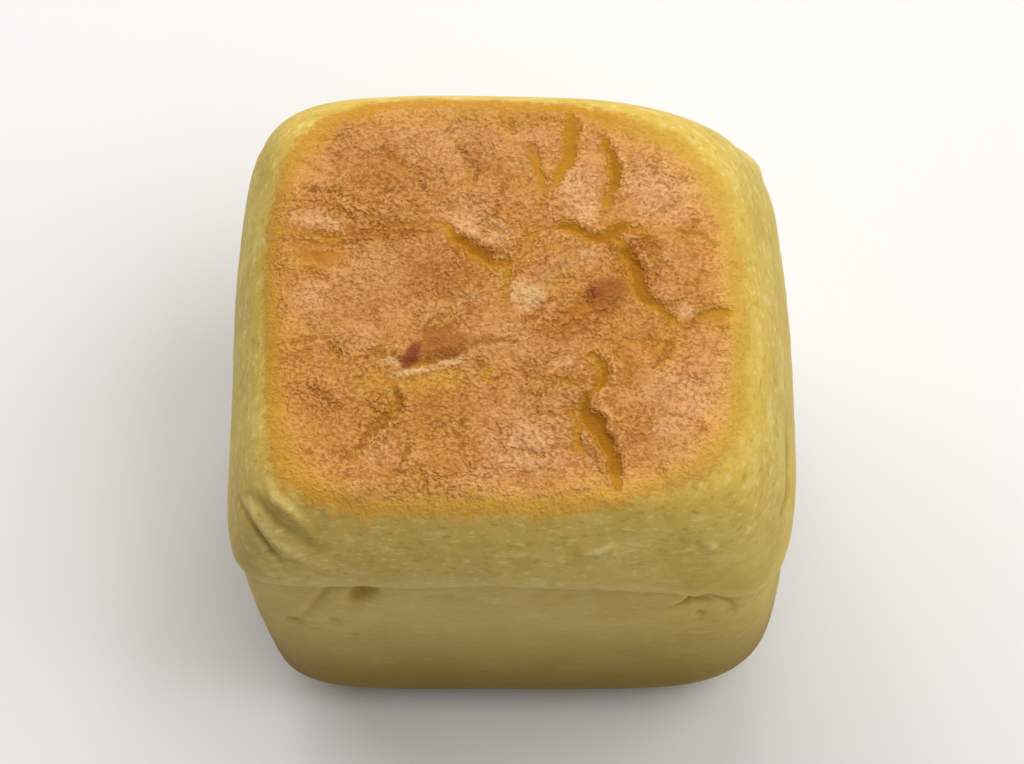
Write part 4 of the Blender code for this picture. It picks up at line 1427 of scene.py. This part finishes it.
@dataclass(frozen=True)
class BreadSkin:
    """The bun's skin: tan crinkled crust, ochre cracks, an amber rim and pale lemon walls, with painted
    light and shade in parts of its colour.
    """

    name: str = "lemon_bread_skin"
    crust: Colour = paint(207, 139, 60)
    crust_pale: Colour = paint(228, 167, 110)
    crust_brown: Colour = paint(182, 108, 30)
    crust_ochre: Colour = paint(184, 122, 14)
    crust_yellow: Colour = paint(206, 148, 40)
    crust_golden: Colour = paint(222, 156, 68)
    # Painted light: the lighter crust on the right side and at the front middle, near the rim.
    crust_right: Colour = paint(241, 181, 94)
    # Painted shade: the dark line in the core of the weak cracks.
    crust_line: Colour = paint(146, 86, 12)
    # Painted shade: the dark valleys of the crinkle and the dark wrinkle lines.
    crust_valley: Colour = paint(136, 74, 8)
    # Painted highlight: the paler crests of the crinkle, partly paler tone.
    crust_crest: Colour = paint(244, 194, 124)
    crust_glint: Colour = paint(252, 226, 184)
    smooth_crust: Colour = paint(196, 124, 30)
    amber: Colour = paint(205, 145, 40)
    amber_left: Colour = paint(213, 156, 54)
    # Painted light: the lighter amber at the front middle of the rim.
    amber_front: Colour = paint(234, 178, 72)
    # Painted light: the lighter amber on the right side.
    amber_soft: Colour = paint(216, 170, 70)
    amber_corner: Colour = paint(196, 150, 60)
    groove: Colour = paint(196, 138, 34)
    # Painted shade: the darker core of the stronger cracks.
    groove_deep: Colour = paint(164, 106, 14)
    knot: Colour = paint(172, 103, 38)
    knot_end: Colour = paint(150, 74, 38)
    cream: Colour = paint(232, 193, 140)
    lemon: Colour = paint(221, 194, 103)
    lemon_warm: Colour = paint(225, 189, 80)
    # Painted shade: the darker, bluer lemon of the front walls.
    lemon_front: Colour = paint(213, 184, 112)
    lemon_pale: Colour = paint(242, 224, 152)
    lemon_deep: Colour = paint(203, 172, 80)
    # Painted shade near the floor, partly browned bottom crust: the darker olive towards the base.
    heel: Colour = paint(128, 98, 12)
    # Painted shade in the fold valleys and under the wall's lip; the same olive also tints random dark
    # flecks of the shoulder.
    fold_valley: Colour = paint(172, 140, 36)
    # Painted shade in the creases and painted highlight on the crests of the crinkle, over the amber band.
    amber_crease: float = 0.22
    amber_ridge: float = 0.1
    groove_mottle: float = 0.42
    # Painted shade in the crinkle's creases, inside the cracks.
    groove_crease: float = 0.25
    crust_clouds: Blotches = Blotches(13 * MM, 2, (0.4, 0.62), 0.5)
    brown_blotches: Blotches = Blotches(3.4 * MM, 2, (0.54, 0.7), 0.5)
    brown_specks: Blotches = Blotches(1.5 * MM, 1, (0.5, 0.66), 0.35)
    # How much of the painted light of the right side shows at the front middle.
    front_gold: float = 0.8
    golden_tint: float = 0.65
    ochre_tint: float = 0.6
    # Painted shade in the soft creases of the crust.
    seam_tint: float = 0.5
    # Ochre round the cracks, partly tone and partly painted shade on their gentle side.
    stain_tint: float = 0.7
    cream_tint: float = 0.62
    smooth_tint: float = 0.7
    # Painted shade: the crack line, crease and wrinkle tints below; painted highlight: the ridge, lip and
    # glint tints.
    line_tint: float = 0.6
    crease_tint: float = 0.36
    wrinkle_tint: float = 0.23
    ridge_tint: float = 0.2
    lip_tint: float = 0.3
    glint_tint: float = 0.12
    level_scale: tuple[float, float, float] = (0.55, 0.55, 1.5)
    blotch: Clouds = (2.6 * MM, 3, 0.6)
    fleck: Clouds = (0.8 * MM, 2, 0.6)
    lemon_clouds: Blotches = Blotches(7 * MM, 3, (0.4, 0.65), 0.6, 0.6)
    rim_tint: float = 0.8
    # Painted shade on the front walls.
    front_tint: float = 0.5
    deep_blotches: tuple[float, float, float] = (0.52, 0.68, 0.5)
    pale_blotches: tuple[float, float, float] = (0.46, 0.32, 0.35)
    pale_flecks: tuple[float, float, float] = (0.56, 0.7, 0.5)
    deep_flecks: tuple[float, float, float] = (0.42, 0.3, 0.4)
    # Painted highlight above the wall's lip, and painted shade under it.
    lip_light_tint: float = 0.25
    lip_dark_tint: float = 0.7
    # Painted shade in the fold valleys.
    valley_tint: float = 0.75
    # Painted highlight on the fold crests, stronger in flecks.
    crest_tint: float = 0.3
    crest_fleck_tint: float = 0.9
    crest_flecks: Pair = (0.48, 0.58)
    crust_roughness: float = 0.5
    groove_roughness: float = 0.8
    lemon_roughness: float = 0.6
    ridge_gloss: float = 0.1
    subsurface: float = 0.12
    subsurface_scale: float = 1.2 * MM
    subsurface_radius: Colour = (1.0, 0.62, 0.25)
    specular: float = 0.14
    crinkle_length: float = 0.45 * MM
    crinkle_bend: float = 0.6
    crinkle_stretch: float = 0.8 * MM
    crinkle_stretch_length: float = 2.8 * MM
    crinkle_stir: Blotches = Blotches(4.5 * MM, 1, (0.36, 0.6), 0.35)
    crinkle_depth: float = 0.17
    grain_length: float = 0.3 * MM
    grain_depth: float = 0.05
    wrinkle_length: float = 1.25 * MM
    wrinkle_bend: float = 0.3
    wrinkle_width: float = 0.13
    wrinkle_depth: float = 0.13
    ripple: Clouds = (1.6 * MM, 3, 0.55)
    ripple_depth: float = 0.12
    wall_step: float = 0.03
    lip_step: float = 0.1
    limits: SkinLimits = SkinLimits()

    def colour(self, tree: ShaderTree, skin: "SkinMasks") -> Value:
        """The colour of the whole skin.

        Args:
            tree: The finish's nodes.
            skin: Where each kind of skin is.

        Returns:
            The colour.
        """
        amber = tree.layered(
            self.amber,
            # Painted light: lighter amber on the right side and at the front middle.
            (skin.right_side, self.amber_soft),
            (skin.left_side, self.amber_left),
            (skin.front_middle, self.amber_front),
            (skin.front_side * skin.right_side, self.amber_corner),
            # Painted shade in the crinkle's creases and painted highlight on its crests.
            (skin.crease * self.amber_crease, self.crust_ochre),
            (skin.ridge * self.amber_ridge, self.crust_crest),
        )
        groove = tree.layered(
            self.groove,
            # Painted shade: the darker core of the stronger cracks and darker creases inside them.
            (skin.deep, self.groove_deep),
            (skin.mottled * self.groove_mottle, self.crust_brown),
            (skin.crease * self.groove_crease, self.groove_deep),
        )
        return tree.layered(
            self.lemon_colour(tree, skin),
            (skin.amber, amber),
            (skin.crust, self.crust_colour(tree, skin)),
            (skin.bare * skin.crusted, groove),
            (skin.knot, self.knot),
            (skin.knot_end, self.knot_end),
        )

    def crust_colour(self, tree: ShaderTree, skin: "SkinMasks") -> Value:
        """The colour of the browned crown, with painted shade in its creases and painted highlights on its
        crests.

        Args:
            tree: The finish's nodes.
            skin: Where each kind of skin is.

        Returns:
            The colour.
        """
        # Painted light: the golden crust near the rim is lighter on the right side and at the front middle.
        sunny = skin.right_side.at_least(skin.front_middle * self.front_gold)
        golden = tree.mix(sunny, self.crust_golden, self.crust_right)
        # Painted shade in the crinkle's creases, and painted highlight on its crests.
        creased = skin.crease * skin.crinkled * skin.inner
        crest = skin.ridge * skin.crinkled
        return tree.layered(
            self.crust,
            (self.crust_clouds.share(tree), self.crust_pale),
            (skin.brown, self.crust_brown),
            # Pads that are pinker in tone, partly with painted highlight.
            (skin.pale, self.crust_pale),
            (self.brown_blotches.share(tree), self.crust_brown),
            (self.brown_specks.share(tree), self.crust_brown),
            (skin.near_amber * self.golden_tint, golden),
            (skin.ochre * self.ochre_tint, self.crust_yellow),
            # Painted shade in the soft creases; below it, ochre round the cracks that is partly painted
            # shade on their gentle side.
            (skin.seam * self.seam_tint, self.crust_ochre),
            (skin.stain * self.stain_tint, self.crust_ochre),
            (skin.cream * self.cream_tint, self.cream),
            (skin.smooth * self.smooth_tint, self.smooth_crust),
            # Painted shade: the dark crack line, the crinkle's dark valleys and the dark wrinkle lines.
            (skin.line * self.line_tint, self.crust_line),
            (creased * self.crease_tint, self.crust_valley),
            (skin.wrinkle * self.wrinkle_tint, self.crust_valley),
            # Painted highlight on the crinkle's crests, stronger on the pads and the crack lips, partly
            # paler tone; the glints below are painted highlights too.
            (crest * ((skin.pale + 1) * self.ridge_tint + self.lip_tint * skin.lip), self.crust_crest),
            (crest * skin.grain * self.glint_tint, self.crust_glint),
        )

    def lemon_colour(self, tree: ShaderTree, skin: "SkinMasks") -> Value:
        """The colour of the pale shoulder and walls, with painted shade on the front walls, under the lip,
        in the fold valleys and towards the base, and painted highlights above the lip and on the fold
        crests.

        Args:
            tree: The finish's nodes.
            skin: Where each kind of skin is.

        Returns:
            The colour.
        """
        level = tree.scaled(self.level_scale)
        blotch, fleck = tree.clouds(*self.blotch, place=level), tree.clouds(*self.fleck, place=level)
        lemon = tree.layered(
            self.lemon,
            (self.lemon_clouds.share(tree), self.lemon_deep),
            (skin.near_rim * self.rim_tint, self.lemon_warm),
            # Painted shade: darker, bluer lemon on the front walls.
            (skin.front_side * (1 - skin.right_side) * self.front_tint, self.lemon_front),
        )
        for spots, (low, high, strength), shown in (
            (blotch, self.deep_blotches, self.lemon_deep),
            (blotch, self.pale_blotches, self.lemon_pale),
            (fleck, self.pale_flecks, self.lemon_pale),
            # Random dark flecks of the shoulder, in the same olive as the painted shade.
            (fleck, self.deep_flecks, self.fold_valley),
        ):
            lemon = tree.mix(spots.smooth(low, high) * skin.shoulder * strength, lemon, shown)
        # Painted highlight on the fold crests, stronger in flecks.
        flecked = self.crest_tint + self.crest_fleck_tint * fleck.smooth(*self.crest_flecks)
        return tree.layered(
            lemon,
            # Painted shade near the floor, partly browned bottom crust; painted highlight above the lip;
            # painted shade under the lip and in the fold valleys; painted highlight on the fold crests.
            (skin.heel, self.heel),
            (skin.lip_light * self.lip_light_tint, self.lemon_pale),
            (skin.lip_dark * self.lip_dark_tint, self.fold_valley),
            (skin.fold_valley * self.valley_tint, self.fold_valley),
            (skin.fold_crest * flecked, self.lemon_pale),
        )

    def height(self, tree: ShaderTree, skin: "SkinMasks", crinkle: Value) -> Value:
        """How far the fine relief stands out, in millimetres.

        Args:
            tree: The finish's nodes.
            skin: Where each kind of skin is.
            crinkle: The fine noise of the crust.

        Returns:
            The height.
        """
        height = crinkle * skin.relief * self.crinkle_depth + skin.grain * skin.relief * self.grain_depth
        height = height + tree.clouds(*self.ripple) * self.ripple_depth - skin.bare * self.wall_step
        return height + skin.lip_above * self.lip_step - skin.wrinkle * self.wrinkle_depth

    def make(self) -> bpy.types.Material:
        """Builds the finish.

        Returns:
            The material.
        """
        tree = ShaderTree(self.name)
        drawn = tree.drawn_out(self.crinkle_stretch_length, self.crinkle_stretch)
        crinkle = tree.clouds(self.crinkle_length, 0.0, 0.5, self.crinkle_bend, drawn) - 0.5
        crinkle = crinkle * (self.crinkle_stir.share(tree) + (1 - self.crinkle_stir.strength)) + 0.5
        skin = SkinMasks.read(tree, self, crinkle, tree.clouds(self.grain_length, 0.0))
        surface = tree.surface.inputs
        tree.put(surface["Base Color"], self.colour(tree, skin))
        crusted = skin.crust * (self.crust_roughness - self.lemon_roughness) + self.lemon_roughness
        rough = crusted + skin.bare * (self.groove_roughness - self.crust_roughness)
        tree.put(surface["Roughness"], rough - skin.ridge * skin.crinkled * skin.crust * self.ridge_gloss)
        height = self.height(tree, skin, crinkle)
        bump = tree.add("ShaderNodeBump", {}, {"Strength": 1.0, "Distance": MM, "Height": height}, "Normal")
        tree.put(surface["Normal"], bump)
        surface["Subsurface Weight"].default_value = self.subsurface
        surface["Subsurface Scale"].default_value = self.subsurface_scale
        surface["Subsurface Radius"].default_value = self.subsurface_radius
        surface["Specular IOR Level"].default_value = self.specular
        return tree.material


@dataclass
class SkinMasks:
    """Where each kind of skin is, as values of a shader from 0 to 1."""

    ridge: Value
    crease: Value
    grain: Value
    crust: Value
    crusted: Value
    amber: Value
    right_side: Value
    left_side: Value
    front_side: Value
    front_middle: Value
    near_amber: Value
    inner: Value
    near_rim: Value
    shoulder: Value
    crinkled: Value
    wrinkle: Value
    relief: Value
    smooth: Value
    bare: Value
    # Painted shade of the crack core; random mottling; ochre round the cracks, partly painted shade; painted
    # shade of the crack line.
    deep: Value
    mottled: Value
    stain: Value
    line: Value
    seam: Value
    lip: Value
    cream: Value
    pale: Value
    brown: Value
    ochre: Value
    knot: Value
    knot_end: Value
    # Painted shade near the floor, partly browned bottom crust.
    heel: Value
    lip_above: Value
    # Painted highlight above the wall's lip, painted shade under it, painted highlight on the fold crests
    # and painted shade in the fold valleys.
    lip_light: Value
    lip_dark: Value
    fold_crest: Value
    fold_valley: Value

    @classmethod
    def read(cls, tree: ShaderTree, finish: BreadSkin, crinkle: Value, grain: Value) -> "SkinMasks":
        """Works the masks out from the mesh's marks.

        Args:
            tree: The finish's nodes.
            finish: The finish, for its limits and its wrinkles.
            crinkle: A fine noise, whose high parts are ridges and low parts creases.
            grain: A finer one.

        Returns:
            The masks.
        """
        limits = finish.limits
        across, depth, spot = (tree.along(axis) for axis in "XYZ")
        slow, ragged = tree.clouds(*limits.slow) - 0.5, tree.clouds(*limits.ragged) - 0.5
        inside = tree.mark(Mark.INSIDE_RIM)
        edge = inside + slow * limits.edge_pushes[0] + ragged * limits.edge_pushes[1]
        crust = edge.smooth(*limits.crust)
        near_rim = inside.smooth(*limits.near_rim)
        left_side, front_side = across.smooth(*limits.left_side), depth.smooth(*limits.front_side)
        smooth = limits.smooth.mask(tree, slow, ragged)
        strength, steep = tree.mark(Mark.CRACK_DEPTH), tree.mark(Mark.CRACK_SIDE)
        crack = tree.mark(Mark.CRACK_EDGE) + slow * limits.crack_pushes[0] + ragged * limits.crack_pushes[1]
        crack = crack + (crinkle - 0.5) * limits.crack_crinkle
        sloping, upright = crack.smooth(*limits.sloping_wall), crack.smooth(*limits.steep_wall)
        bare = (sloping + (upright - sloping) * steep) * strength.smooth(*limits.bare_strength)
        # Painted shade: the darker core of the cracks, reaching their edge on the steep side.
        deep = (crack + (1 - steep) * limits.gentle_shift).smooth(*limits.deep)
        # Painted shade: the dark line in the weak cracks.
        drawn_line = crack.smooth(*limits.line) * strength.smooth(*limits.line_strength)
        crinkled = (1 - smooth * limits.smooth_calm) * (1 - bare * limits.bare_calm)
        creases = abs(tree.clouds(finish.wrinkle_length, 1, warp=finish.wrinkle_bend) - 0.5)
        wrinkled = tree.clouds(limits.wrinkled_length, 1) + tree.mark(Mark.BROWN) * limits.wrinkled_brown
        wrinkle = creases.smooth(finish.wrinkle_width, 0.0) * wrinkled.smooth(*limits.wrinkled)
        raised = edge.smooth(*limits.relief) * (1 - limits.relief_shoulder)
        raised = raised + near_rim * limits.relief_shoulder
        creamy = slow * limits.cream_pushes[0] + ragged * limits.cream_pushes[1] + 1.0
        line = tree.mark(Mark.LIP_LINE) + slow * limits.lip_push
        broken = limits.lip_breaks.share(tree)
        right_loss = across.smooth(*limits.heel_right) * limits.heel_right_loss
        return cls(
            ridge=(crinkle + (tree.mark(Mark.CRINKLE) - 0.5) * limits.ridge_push).smooth(*limits.ridge),
            crease=crinkle.smooth(*limits.crease),
            grain=grain.smooth(*limits.grain),
            crust=crust,
            crusted=edge.smooth(*limits.crusted),
            amber=edge.smooth(*limits.amber),
            right_side=across.smooth(*limits.right_side),
            left_side=left_side,
            front_side=front_side,
            front_middle=front_side * (1 - left_side * limits.left_loss),
            near_amber=edge.smooth(*limits.near_amber),
            inner=edge.smooth(*limits.inner) * (1 - limits.inner_least) + limits.inner_least,
            near_rim=near_rim,
            shoulder=inside.smooth(*limits.shoulder) * (1 - limits.shoulder_least) + limits.shoulder_least,
            crinkled=crinkled,
            wrinkle=wrinkle * crinkled * crust,
            relief=crinkled * raised + limits.relief_least,
            smooth=smooth,
            bare=bare,
            deep=deep * strength.smooth(*limits.deep_strength),
            mottled=(ragged * limits.mottle_push + slow).smooth(*limits.mottled),
            # Ochre round the cracks, partly painted shade, wider on their gentle side.
            stain=(crack + steep * limits.steep_shift).smooth(*limits.stain) * strength,
            line=drawn_line * (1 - strength.smooth(*limits.line_lost) * limits.line_loss),
            seam=limits.seam.mask(tree, slow, ragged),
            lip=tree.mark(Mark.CRACK_LIP),
            cream=(tree.mark(Mark.CREAM) * creamy).smooth(*limits.cream),
            pale=limits.pale.mask(tree, slow, ragged),
            brown=limits.brown.mask(tree, slow, ragged),
            ochre=limits.ochre.mask(tree, slow, ragged),
            knot=limits.knot.mask(tree, slow, ragged),
            knot_end=limits.knot_end.mask(tree, slow, ragged),
            # Painted shade near the floor, partly browned bottom crust; less on the right.
            heel=(spot + slow * limits.heel_push).smooth(*limits.heel) * (limits.heel_strength - right_loss),
            lip_above=line.smooth(*limits.lip_above) * broken,
            # Painted highlight above the wall's lip and painted shade under it.
            lip_light=line.smooth(*limits.lip_light) * line.smooth(*limits.lip_light_end),
            lip_dark=line.smooth(*limits.lip_dark) * line.smooth(*limits.lip_dark_end) * broken,
            fold_crest=tree.mark(Mark.FOLD_CREST),
            fold_valley=limits.fold_valley.mask(tree, slow, ragged),
        )


@dataclass
class LemonCubeBread:
    """The bun: one closed mesh, a square grid for its crown drawn down in rings to the base."""

    name: str = "lemon_cube_bread"
    node: str = "cube_bread"
    slot: str = "bread"
    body: str = "root"
    form: Form = field(default_factory=Form)
    skin: BreadSkin = field(default_factory=BreadSkin)
    crown_cells: int = 180
    crown_reach: float = 30.5 * MM
    wall_rings: int = 86
    top_ring_share: float = 0.6
    base_rings: int = 4
    base_cut: float = 0.15 * MM
    marks: dict[Mark, np.ndarray] = field(default_factory=dict)

    def unit_mesh(self) -> bmesh.types.BMesh:
        """The bun's faces, laid out as a unit square whose rim is drawn into rings.

        Returns:
            The mesh, with each vertex's ring noted as its level.
        """
        bun = bmesh.new()
        bmesh.ops.create_grid(bun, x_segments=self.crown_cells, y_segments=self.crown_cells, size=1)
        level = bun.verts.layers.float.new("level")
        rim = [edge for edge in bun.edges if edge.is_boundary]
        rings = self.wall_rings + self.base_rings
        for ring in range(1, rings + 1):
            drawn = bmesh.ops.extrude_edge_only(bun, edges=rim)["geom"]
            rim = [part for part in drawn if isinstance(part, bmesh.types.BMEdge)]
            for part in drawn:
                if isinstance(part, bmesh.types.BMVert):
                    part[level] = ring
        bmesh.ops.contextual_create(bun, geom=rim)
        return bun

    def reaches(self, out: np.ndarray, rings: np.ndarray, length: float) -> np.ndarray:
        """How far along the profile each vertex lies, closer together at the shoulder.

        Args:
            out: How far out each vertex of the crown's grid is, from 0 to 1.
            rings: Each vertex's ring, 0 on the crown.
            length: The profile's length.

        Returns:
            The lengths along the profile.
        """
        level = np.clip(rings / self.wall_rings, 0, 1)
        graded = self.top_ring_share * level + (1 - self.top_ring_share) * level**3
        wall = self.crown_reach + graded * (length - self.crown_reach)
        return np.where(rings > 0, wall, out * self.crown_reach)

    def settle(self, places: np.ndarray) -> np.ndarray:
        """Puts the form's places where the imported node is, with the base cut flat.

        Args:
            places: Places round the form's own middle.

        Returns:
            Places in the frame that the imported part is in.
        """
        settled = places.copy()
        settled[:, 2] = np.maximum(settled[:, 2], self.base_cut)
        low, high = (np.array(corner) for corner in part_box(self.node))
        middle = (settled.min(0) + settled.max(0)) / 2
        wanted = (low + high) / 2
        return settled + (wanted[0] - middle[0], wanted[1] - middle[1], low[2] - self.base_cut)

    def shape(self, bun: bmesh.types.BMesh) -> None:
        """Moves the unit mesh's vertices onto the bun and raises its relief.

        Args:
            bun: The unit mesh, which is changed.
        """
        level = bun.verts.layers.float["level"]
        grid = np.array([vert.co[:2] for vert in bun.verts])
        rings = np.array([vert[level] for vert in bun.verts])
        bearing = np.arctan2(grid[:, 1], grid[:, 0])
        lengths, half, height = self.form.profile()
        reach = self.reaches(np.abs(grid).max(1), rings, lengths[-1])
        inward = 1 - np.clip((rings - self.wall_rings) / (self.base_rings + 1), 0, 1)
        halves = np.interp(reach, lengths, half) * inward
        smooth = self.form.points(bearing, halves, np.interp(reach, lengths, height))
        self.place(bun, smooth)
        self.marks = {mark: np.zeros(len(smooth)) for mark in Mark}
        crown, walls = CrownRelief(self.form), WallRelief(self.form)
        inside = crown.inside_rim(smooth, bearing, reach)
        self.marks[Mark.INSIDE_RIM] = inside / MM
        relief = crown.raise_crown(smooth, inside, self.marks) + walls.raise_walls(smooth, self.marks)
        normals = np.array([vert.normal for vert in bun.verts])
        normals[smooth[:, 2] < self.base_cut] = 0
        self.place(bun, self.settle(smooth + normals * relief[:, None]))

    def place(self, bun: bmesh.types.BMesh, places: np.ndarray) -> None:
        """Puts each vertex at its place, and points the faces outward.

        Args:
            bun: The mesh, which is changed.
            places: A place for each vertex.
        """
        for vert, spot in zip(bun.verts, places):
            vert.co = spot
        bmesh.ops.recalc_face_normals(bun, faces=bun.faces)
        bun.normal_update()

    def build(self) -> bpy.types.Object:
        """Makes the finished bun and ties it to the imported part.

        Returns:
            The bun's object.
        """
        bun = self.unit_mesh()
        self.shape(bun)
        mesh = bpy.data.meshes.new(self.name)
        bun.to_mesh(mesh)
        bun.free()
        for mark, values in self.marks.items():
            kept = mesh.attributes.new(mark.value, "FLOAT", "POINT")
            kept.data.foreach_set("value", values.astype(np.float32))
        mesh.materials.append(self.skin.make())
        mesh.shade_smooth()
        bread = bpy.data.objects.new(self.name, mesh)
        bpy.context.scene.collection.objects.link(bread)
        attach(bread, self.body)
        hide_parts(self.node)
        return bread


@dataclass(frozen=True)
class Lamp:
    """A soft square lamp: its name, bearing and height in degrees, distance, side, power and colour."""

    name: str
    bearing: float
    elevation: float
    distance: float
    side: float
    power: float
    colour: Colour


def studio_lamps() -> tuple[Lamp, ...]:
    """Two broad lamps behind the bun, one high at its right and one high at its front right."""
    return (
        Lamp("back_lamp", 90, 40, 0.7, 0.5, 2.55, (1.0, 0.99, 0.97)),
        Lamp("back_left_lamp", 135, 40, 0.7, 0.5, 1.6, (1.0, 0.99, 0.97)),
        Lamp("right_lamp", 2, 56, 0.7, 0.5, 1.9, (1.0, 0.99, 0.97)),
        Lamp("front_right_lamp", -48, 60, 0.7, 0.5, 1.4, (1.0, 0.99, 0.97)),
    )


@dataclass
class Studio:
    """A pale floor, soft lamps and the camera at the picture's angle."""

    aim: tuple[float, float, float] = (-0.65 * MM, 2.2 * MM, 29.0 * MM)
    elevation: float = 62
    distance: float = 340 * MM
    focal_pixels: float = 2642
    floor_side: float = 4.0
    floor_colour: Colour = (0.93, 0.93, 0.92)
    sky_colour: Colour = (1.0, 1.0, 1.0)
    sky_strength: float = 0.04
    floor_roughness: float = 0.9
    floor_specular: float = 0.1
    clip: Pair = (0.01, 20)
    lamps: tuple[Lamp, ...] = field(default_factory=studio_lamps)

    def camera(self) -> bpy.types.Object:
        """Sets the camera at the picture's angle.

        Returns:
            The camera's object.
        """
        up = math.radians(self.elevation)
        lens = bpy.data.cameras.new("picture_camera")
        lens.sensor_width = SENSOR_WIDTH
        lens.lens = self.focal_pixels * SENSOR_WIDTH / IMAGE_WIDTH
        lens.clip_start, lens.clip_end = self.clip
        camera = bpy.data.objects.new("picture_camera", lens)
        back = Vector((0, -math.cos(up), math.sin(up)))
        camera.location = Vector(self.aim) + self.distance * back
        camera.rotation_euler = (math.radians(90) - up, 0, 0)
        bpy.context.scene.collection.objects.link(camera)
        bpy.context.scene.camera = camera
        return camera

    def floor(self) -> bpy.types.Object:
        """Lays the pale floor.

        Returns:
            The floor's object.
        """
        flat = bmesh.new()
        bmesh.ops.create_grid(flat, x_segments=1, y_segments=1, size=self.floor_side / 2)
        mesh = bpy.data.meshes.new("studio_floor")
        flat.to_mesh(mesh)
        flat.free()
        tree = ShaderTree("pale_floor")
        tree.put(tree.surface.inputs["Base Color"], self.floor_colour)
        tree.surface.inputs["Roughness"].default_value = self.floor_roughness
        tree.surface.inputs["Specular IOR Level"].default_value = self.floor_specular
        mesh.materials.append(tree.material)
        floor = bpy.data.objects.new("studio_floor", mesh)
        bpy.context.scene.collection.objects.link(floor)
        return floor

    def light(self, lamp: Lamp) -> bpy.types.Object:
        """Hangs one lamp, turned to the bun.

        Args:
            lamp: The lamp to hang.

        Returns:
            Its object.
        """
        source = bpy.data.lights.new(lamp.name, "AREA")
        source.shape, source.size = "SQUARE", lamp.side
        source.energy, source.color = lamp.power, lamp.colour
        hung = bpy.data.objects.new(lamp.name, source)
        around, up = math.radians(lamp.bearing), math.radians(lamp.elevation)
        away = Vector((math.cos(around) * math.cos(up), math.sin(around) * math.cos(up), math.sin(up)))
        hung.location = Vector(self.aim) + lamp.distance * away
        hung.rotation_euler = away.to_track_quat("Z", "Y").to_euler()
        bpy.context.scene.collection.objects.link(hung)
        return hung

    def sky(self) -> None:
        """Surrounds the scene with a weak, even light, and keeps the colours plain."""
        world = bpy.data.worlds.new("studio_sky")
        world.use_nodes = True
        backdrop = world.node_tree.nodes["Background"].inputs
        backdrop["Color"].default_value = (*self.sky_colour, 1.0)
        backdrop["Strength"].default_value = self.sky_strength
        bpy.context.scene.world = world
        bpy.context.scene.view_settings.view_transform = "Standard"

    def build(self) -> None:
        """Makes the whole studio."""
        self.camera()
        self.floor()
        for lamp in self.lamps:
            self.light(lamp)
        self.sky()


def report(pieces: Iterable[bpy.types.Object]) -> None:
    """Logs each piece's name, size and number of faces.

    Args:
        pieces: The finished pieces.
    """
    for piece in pieces:
        size = " x ".join(f"{side / MM:.1f}" for side in piece.dimensions)
        log.info("%s: %s mm, %d faces", piece.name, size, len(piece.data.polygons))


def main() -> None:
    """Builds the bun and its studio, and reports the bun."""
    logging.basicConfig(level=logging.INFO, format="%(message)s")
    bread = LemonCubeBread().build()
    Studio().build()
    bpy.context.view_layer.update()
    report([bread])


if __name__ == "__main__":
    main()
